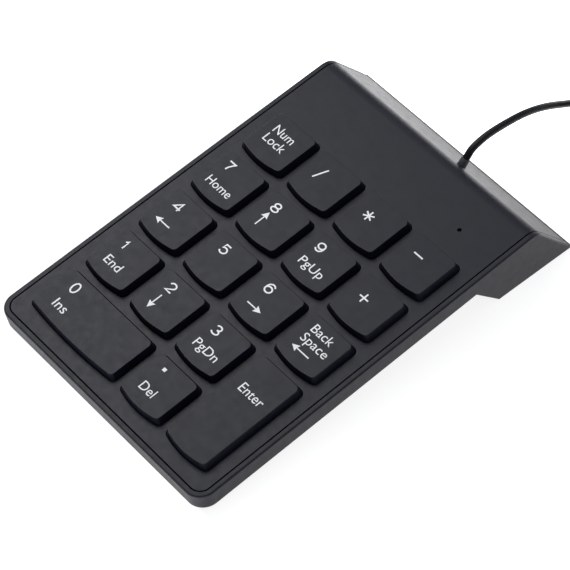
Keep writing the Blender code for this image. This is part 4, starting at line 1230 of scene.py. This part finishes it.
def cap_bmesh(extra_x, extra_y):
    """A cap: rounded top edge, leaning walls, retaining flange, and a plunger under the roof."""
    half_x, half_y = CAP_HALF + extra_x, CAP_HALF + extra_y
    out = FLANGE_OUT
    flange = key_outline(half_x + out, half_y + out, -half_y - out, FLANGE_R)
    room_x, room_y = half_x - CAP_SKIN, half_y - CAP_SKIN
    inside = key_outline(room_x, room_y, -room_y, CAP_INNER_R)
    angles = [math.atan2(y / room_y, x / room_x) for x, y in inside]
    stem = [(PLUNGER_R * math.cos(a), PLUNGER_R * math.sin(a)) for a in angles]
    base = cap_ring(extra_x, extra_y, 0.0, 0.0)
    ceiling = CAP_RISE - CAP_ROOF
    sole = FLANGE_TOP - FLANGE_THICK
    rings = []
    for inset, drop in rim_profile(CAP_EDGE_R, CAP_EDGE_STEPS, CAP_HOLD) + [(0.0, CAP_EDGE_R + HOLD)]:
        rings.append(level(cap_ring(extra_x, extra_y, CAP_RISE - drop, inset), CAP_RISE - drop))
    rings += [level(base, 0.0), level(base, FLANGE_TOP), level(flange, FLANGE_TOP), level(flange, sole)]
    rings += [level(inside, sole), level(inside, 0.0), level(scaled(inside, CAP_DRAFT), ceiling)]
    rings += [level(scaled(stem, PLUNGER_FLARE), ceiling), level(stem, ceiling - PLUNGER_ROOT)]
    rings += [level(stem, PLUNGER_END + PLUNGER_EDGE), level(scaled(stem, PLUNGER_TIP), PLUNGER_END)]
    bm = bmesh.new()
    add_rings(bm, rings, edge_rings=range(1, CAP_EDGE_STEPS + 1))
    if extra_x or extra_y:
        add_lugs(bm, extra_x > 0.0)
    return bm


def add_lugs(bm, along_x):
    """Two forked lugs under a long key's roof, which take the stabiliser's hooks."""
    tip = WIRE_OFFSET - WIRE_ARM
    for side in (-1.0, 1.0):
        ends = sorted((side * LUG_NEAR, side * LUG_FAR))
        for prong in LUG_PRONGS:
            low = [ends[0], tip + prong, LUG_FOOT]
            high = [ends[1], tip + prong + LUG_THICK, CAP_RISE - CAP_ROOF + LUG_ROOT]
            if not along_x:
                low[:2] = reversed(low[:2])
                high[:2] = reversed(high[:2])
            add_box(bm, low, high)


# ---- legends
MM = 0.001
INK = 0.00002               # thickness of the printed ink
INK_LIFT = 0.000002         # gap under the ink
INK_STEP = 0.000001         # a crossing stroke is this much thicker
STROKE = 0.00047            # width of a drawn stroke
ARROW_STROKE = 0.00038
ARROW_HEAD = 0.0023
WORD_SHARE = 0.692          # the built-in font's cap height by its size
WORD_SLAB = 0.01            # half thickness of a word before it is flattened

# Each figure's strokes in a unit box; closed ones end where they start.
FIGURES = {
    "0": [ellipse(0.5, 0.5, 0.5, 0.5, 90.0, 450.0, 40)],
    "1": [[(0.05, 0.72), (0.30, 0.80), (0.52, 1.0), (0.52, 0.0)]],
    "2": [ellipse(0.5, 0.69, 0.47, 0.31, 170.0, -38.0) + [(0.03, 0.0), (1.0, 0.0)]],
    "3": [ellipse(0.47, 0.75, 0.42, 0.25, 155.0, -90.0), ellipse(0.47, 0.26, 0.50, 0.26, 90.0, -160.0)],
    "4": [[(0.74, 0.0), (0.74, 1.0), (0.0, 0.26), (1.0, 0.26)]],
    "5": [[(0.92, 1.0), (0.20, 1.0), (0.08, 0.50)] + ellipse(0.47, 0.33, 0.50, 0.33, 135.0, -155.0)],
    "6": [ellipse(0.5, 0.33, 0.5, 0.33, 90.0, 450.0, 36), ellipse(0.56, 0.50, 0.56, 0.50, 38.0, 190.0)],
    "7": [[(0.0, 1.0), (1.0, 1.0), (0.72, 0.66), (0.52, 0.34), (0.42, 0.0)]],
    "8": [ellipse(0.5, 0.75, 0.42, 0.25, 90.0, 450.0, 32), ellipse(0.5, 0.26, 0.5, 0.26, 90.0, 450.0, 36)],
}
FIGURES["9"] = [[(1.0 - x, 1.0 - y) for x, y in stroke] for stroke in FIGURES["6"]]

# Millimetres from the middle of the key. Word: left, right, baseline and cap height. Figure: left,
# right, foot and head. Arrow and stroke: start and end. Plus and star: middle and reach. Block: sides.
LEGENDS = {
    "key_num_lock": [("word", "Num", -4.56, 2.94, 1.29, 2.95), ("word", "Lock", -4.56, 3.24, -2.61, 2.95)],
    "key_divide": [("stroke", (-1.95, 3.4), (-3.75, -1.3))],
    "key_multiply": [("star", -1.9, 1.0, 1.68)],
    "key_minus": [("stroke", (-3.45, 1.8), (-0.15, 1.8))],
    "key_7": [("figure", "7", -4.9, -2.1, 1.8, 5.2), ("word", "Home", -4.8, 4.5, -4.5, 2.8)],
    "key_8": [("figure", "8", -4.05, -1.25, 1.8, 5.2), ("arrow", (-2.75, -4.3), (-2.75, 1.2))],
    "key_9": [("figure", "9", -4.6, -1.9, 1.8, 5.2), ("word", "PgUp", -4.48, 4.32, -4.01, 2.8)],
    "key_plus": [("plus", -1.9, 0.9, 1.58)],
    "key_4": [("figure", "4", -4.4, -1.4, 1.7, 5.1), ("arrow", (0.8, -3.2), (-4.9, -3.2))],
    "key_5": [("figure", "5", -3.5, -0.7, 1.5, 5.0)],
    "key_6": [("figure", "6", -4.3, -1.5, 1.9, 5.4), ("arrow", (-4.0, -3.4), (1.4, -3.4))],
    "key_backspace": [("word", "Back", -4.41, 3.24, 2.61, 2.85), ("word", "Space", -4.51, 5.09, -1.14, 2.85),
                      ("arrow", (2.05, -3.65), (-4.5, -3.65))],
    "key_1": [("figure", "1", -4.2, -2.1, 1.9, 5.3), ("word", "End", -3.92, 2.13, -4.10, 2.85)],
    "key_2": [("figure", "2", -4.0, -1.25, 1.9, 5.3), ("arrow", (-2.7, 0.2), (-2.7, -5.2))],
    "key_3": [("figure", "3", -4.0, -1.2, 1.9, 5.3), ("word", "PgDn", -4.28, 4.52, -3.90, 2.85)],
    "key_decimal": [("block", -3.45, -2.35, 3.85, 4.95), ("word", "Del", -3.85, 1.3, -4.1, 2.9)],
    "key_0": [("figure", "0", -12.6, -10.05, 1.7, 5.5), ("word", "Ins", -12.00, -7.25, -4.36, 3.0)],
    "key_enter": [("word", "Enter", -4.10, 4.45, 5.10, 2.95)],
}


def add_stroke(bm, points, low, extra=0.0, width=STROKE):
    """A flat ribbon of ink along a line, with mitred corners; it closes where the line does."""
    line = [Vector(p) for p in points]
    high = low + INK + extra
    closed = (line[0] - line[-1]).length < 1e-7
    if closed:
        line.pop()
    count = len(line)
    loops = []
    for i, here in enumerate(line):
        before = line[i - 1] if i or closed else None
        after = line[(i + 1) % count] if i + 1 < count or closed else None
        first = (here - before).normalized() if before is not None else (after - here).normalized()
        second = (after - here).normalized() if after is not None else first
        n1, n2 = Vector((-first.y, first.x)), Vector((-second.y, second.x))
        out = (n1 + n2) / max(0.35, 1.0 + n1.dot(n2)) * width / 2.0
        a, b = here + out, here - out
        loops.append([bm.verts.new((*p, z)) for p, z in ((a, high), (b, high), (b, low), (a, low))])
    skin(bm, loops, closed)


def add_figure(bm, low, digit, x0, x1, y0, y1):
    """A figure that fills the box from x0, y0 to x1, y1."""
    inset = STROKE / 2.0
    wide, tall = x1 - x0 - STROKE, y1 - y0 - STROKE
    for number, stroke in enumerate(FIGURES[digit]):
        points = [(x0 + inset + px * wide, y0 + inset + py * tall) for px, py in stroke]
        add_stroke(bm, points, low, number * INK_STEP)


def add_arrow(bm, low, start, end):
    start, end = Vector(start), Vector(end)
    run = (end - start).normalized()
    side = Vector((-run.y, run.x)) * ARROW_HEAD / 2.0
    neck = end - run * ARROW_HEAD * 0.95
    barbs = [end, neck + side, neck + run * ARROW_HEAD * 0.12, neck - side]
    add_stroke(bm, [start, neck + run * 0.0002], low, 0.0, ARROW_STROKE)
    add_prism(bm, barbs, low, low + INK + INK_STEP)


def word_mesh(text, height):
    """A word in the built-in font, as a closed slab of ink with its baseline's start at the origin."""
    curve = bpy.data.curves.new("word", "FONT")
    curve.body = text
    curve.size = 1.0
    curve.extrude = WORD_SLAB
    curve.resolution_u = 4
    item = bpy.data.objects.new("word", curve)
    bpy.context.scene.collection.objects.link(item)
    graph = bpy.context.evaluated_depsgraph_get()
    mesh = bpy.data.meshes.new_from_object(item.evaluated_get(graph), depsgraph=graph)
    bpy.data.objects.remove(item)
    bpy.data.curves.remove(curve)
    left = min(v.co.x for v in mesh.vertices)
    scale = height / WORD_SHARE
    flat = INK / (2.0 * WORD_SLAB)
    mesh.transform(Matrix.Diagonal((scale, scale, flat, 1.0)) @ Matrix.Translation((-left, 0.0, WORD_SLAB)))
    return mesh


def add_word(bm, low, text, x0, x1, y0, height):
    """A word from x0 to x1 on a baseline at y0."""
    mesh = word_mesh(text, height)
    natural = max(v.co.x for v in mesh.vertices)
    mesh.transform(Matrix.Translation((x0, y0, low)) @ Matrix.Diagonal(((x1 - x0) / natural, 1.0, 1.0, 1.0)))
    fresh = bmesh.new()
    fresh.from_mesh(mesh)
    bmesh.ops.remove_doubles(fresh, verts=fresh.verts, dist=1e-8)
    fresh.to_mesh(mesh)
    fresh.free()
    bm.from_mesh(mesh)
    bpy.data.meshes.remove(mesh)


def add_plus(bm, low, x, y, reach):
    add_stroke(bm, [(x - reach, y), (x + reach, y)], low)
    add_stroke(bm, [(x, y - reach), (x, y + reach)], low, INK_STEP)


def add_star(bm, low, x, y, reach):
    for i in range(3):
        turn = math.radians(60.0 * i)
        tip = Vector((math.sin(turn), math.cos(turn))) * reach
        add_stroke(bm, [(x - tip.x, y - tip.y), (x + tip.x, y + tip.y)], low, i * INK_STEP)


def add_block(bm, low, x0, x1, y0, y1):
    add_prism(bm, [(x0, y0), (x1, y0), (x1, y1), (x0, y1)], low, low + INK)


def add_line(bm, low, start, end):
    add_stroke(bm, [start, end], low)


LEGEND_PARTS = {"word": add_word, "figure": add_figure, "arrow": add_arrow, "stroke": add_line,
                "plus": add_plus, "star": add_star, "block": add_block}


def in_metres(value):
    if isinstance(value, tuple):
        return tuple(Vector(value) * MM)
    return value if isinstance(value, str) else value * MM


def build_keys():
    for name, x, y, extra_x, extra_y in key_places():
        place = DECK_FRAME @ Matrix.Translation((x, y, 0.0))
        short = name.replace("key_", "")
        add_piece("cap_" + short, cap_bmesh(extra_x, extra_y), "cap", name, place, (name,))
        bm = bmesh.new()
        for kind, *values in LEGENDS[name]:
            LEGEND_PARTS[kind](bm, CAP_RISE + INK_LIFT, *map(in_metres, values))
        add_piece("legend_" + short, bm, "ink", name, place, sharp=20.0)


# ---- small parts


def dome_profile():
    """Radius and height of the dome's outside, from its top down to the foot, and of its inside back up."""
    top = DOME_TOP - DOME_FOOT
    crown = [(0.0003, 0.00002), (0.0016, 0.00002), (0.0019, 0.00012), (0.0020, 0.0004), (0.0021, 0.0007)]
    skirt = [(0.0032, 0.00055), (0.0035, 0.0004), (0.00405, 0.0003), (0.0042, 0.00015), (0.0042, 0.0)]
    inside = [(0.0031, 0.0), (0.0029, 0.00045)]
    roof = [(0.0017, 0.0009), (0.0012, 0.0008), (0.0003, 0.0008)]
    outside = [(radius, top - down) for radius, down in crown] + skirt
    return outside + inside + [(radius, top - down) for radius, down in roof]


def build_domes():
    """Silicone domes, one under each key, each with a mesh of its own."""
    for name, x, y, _extra_x, _extra_y in key_places():
        place = DECK_FRAME @ Matrix.Translation((x, y, DOME_FOOT))
        bm = bmesh.new()
        turned(bm, dome_profile(), 28)
        short = name.replace("key_", "")
        dome = add_piece("silicone_dome_" + short, bm, "silicone", "case", place,
                         ("dome_" + short,), 45.0)
        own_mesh(dome)


def build_feet():
    """Round rubber pads with a rounded edge and a shallow dished sole."""
    for name in FEET:
        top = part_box(name)[1].z
        profile = [(0.0010, 0.00012), (0.0026, 0.0001), (0.0029, 0.0)]
        profile += arc(FOOT_R - FOOT_EDGE_R, FOOT_EDGE_R, FOOT_EDGE_R, -90.0, 0.0, 5)
        profile += [(FOOT_R, top - FOOT_CHAMFER), (FOOT_R - FOOT_CHAMFER, top)]
        bm = bmesh.new()
        turned(bm, profile, 56, foot_place(name))
        add_piece("pad_" + name[5:], bm, "foot", replaces=(name,))


def screw_profile():
    """Radius and height of the screw's rings: a domed head, a coarse thread and a point."""
    low = SCREW_SEAT - SCREW_HEAD
    head = [(0.0004, -0.00001), (0.0012, 0.00003), (0.0017, 0.0002), (0.00195, 0.0005)]
    head.append((SCREW_HEAD_R, 0.0009))
    profile = [(radius, low + up) for radius, up in head]
    profile += [(SCREW_HEAD_R, SCREW_SEAT - GAP), (0.0009, SCREW_SEAT - GAP)]
    crest = SCREW_R - 0.00002
    ridge = [(THREAD_ROOT, 0.0), (crest, 0.0003), (crest, 0.00036), (THREAD_ROOT, 0.00066)]
    for i in range(THREAD_TURNS):
        foot = SCREW_SEAT + 0.0002 + THREAD_PITCH * i
        profile += [(radius, foot + up) for radius, up in ridge]
    return profile + [(0.00065, SCREW_SEAT + 0.0070), (0.0003, SCREW_SEAT + 0.0079)]


def build_screws():
    """Self-tapping screws with a cross recess and a coarse thread."""
    head_low = SCREW_SEAT - SCREW_HEAD
    quarter = [(CROSS_LONG, -CROSS_WIDE), (CROSS_LONG, CROSS_WIDE), (CROSS_WIDE, CROSS_WIDE)]
    outline = []
    for turn in range(4):
        spin = Matrix.Rotation(math.radians(90.0 * turn), 2)
        outline += [spin @ Vector(p) for p in quarter]
    for number, x in enumerate((-SCREW_X, SCREW_X), 1):
        bm = bmesh.new()
        turned(bm, screw_profile(), 32)
        item = link_mesh(f"screw_{number}", to_mesh("screw", bm, None, 40.0), MATERIALS["screw"])
        cross = bmesh.new()
        add_prism(cross, outline, head_low - 0.0005, head_low + CROSS_DEEP)
        cut_with(item, to_mesh("cross", cross))
        item.data.transform(DECK_FRAME @ Matrix.Translation((x, SCREW_Y, 0.0)))
        finish_shading(item.data, 40.0)
        declare(item, "case", (f"case_screw_{number}",))


NODE_FINISHES = {
    "backing_plate": "steel",
    "membrane_lower": "film",
    "membrane_spacer": "film",
    "membrane_upper": "film",
    "controller_board": "board",
    "controller_chip": "chip",
    "led_lamp": "lamp",
    "stabiliser_0": "wire",
    "stabiliser_enter": "wire",
}


def dress_nodes():
    """CAD nodes that keep their shape get their finish here."""
    for name, finish in NODE_FINISHES.items():
        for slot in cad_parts[name].material_slots:
            slot.material = MATERIALS[finish]


def main():
    build_camera()
    build_floor()
    build_light()
    cord = build_cord()
    sleeve = build_relief()
    tie = build_tie()
    plug = build_plug()
    build_cover()
    build_case()
    build_keys()
    build_domes()
    build_feet()
    build_screws()
    dress_nodes()


main()
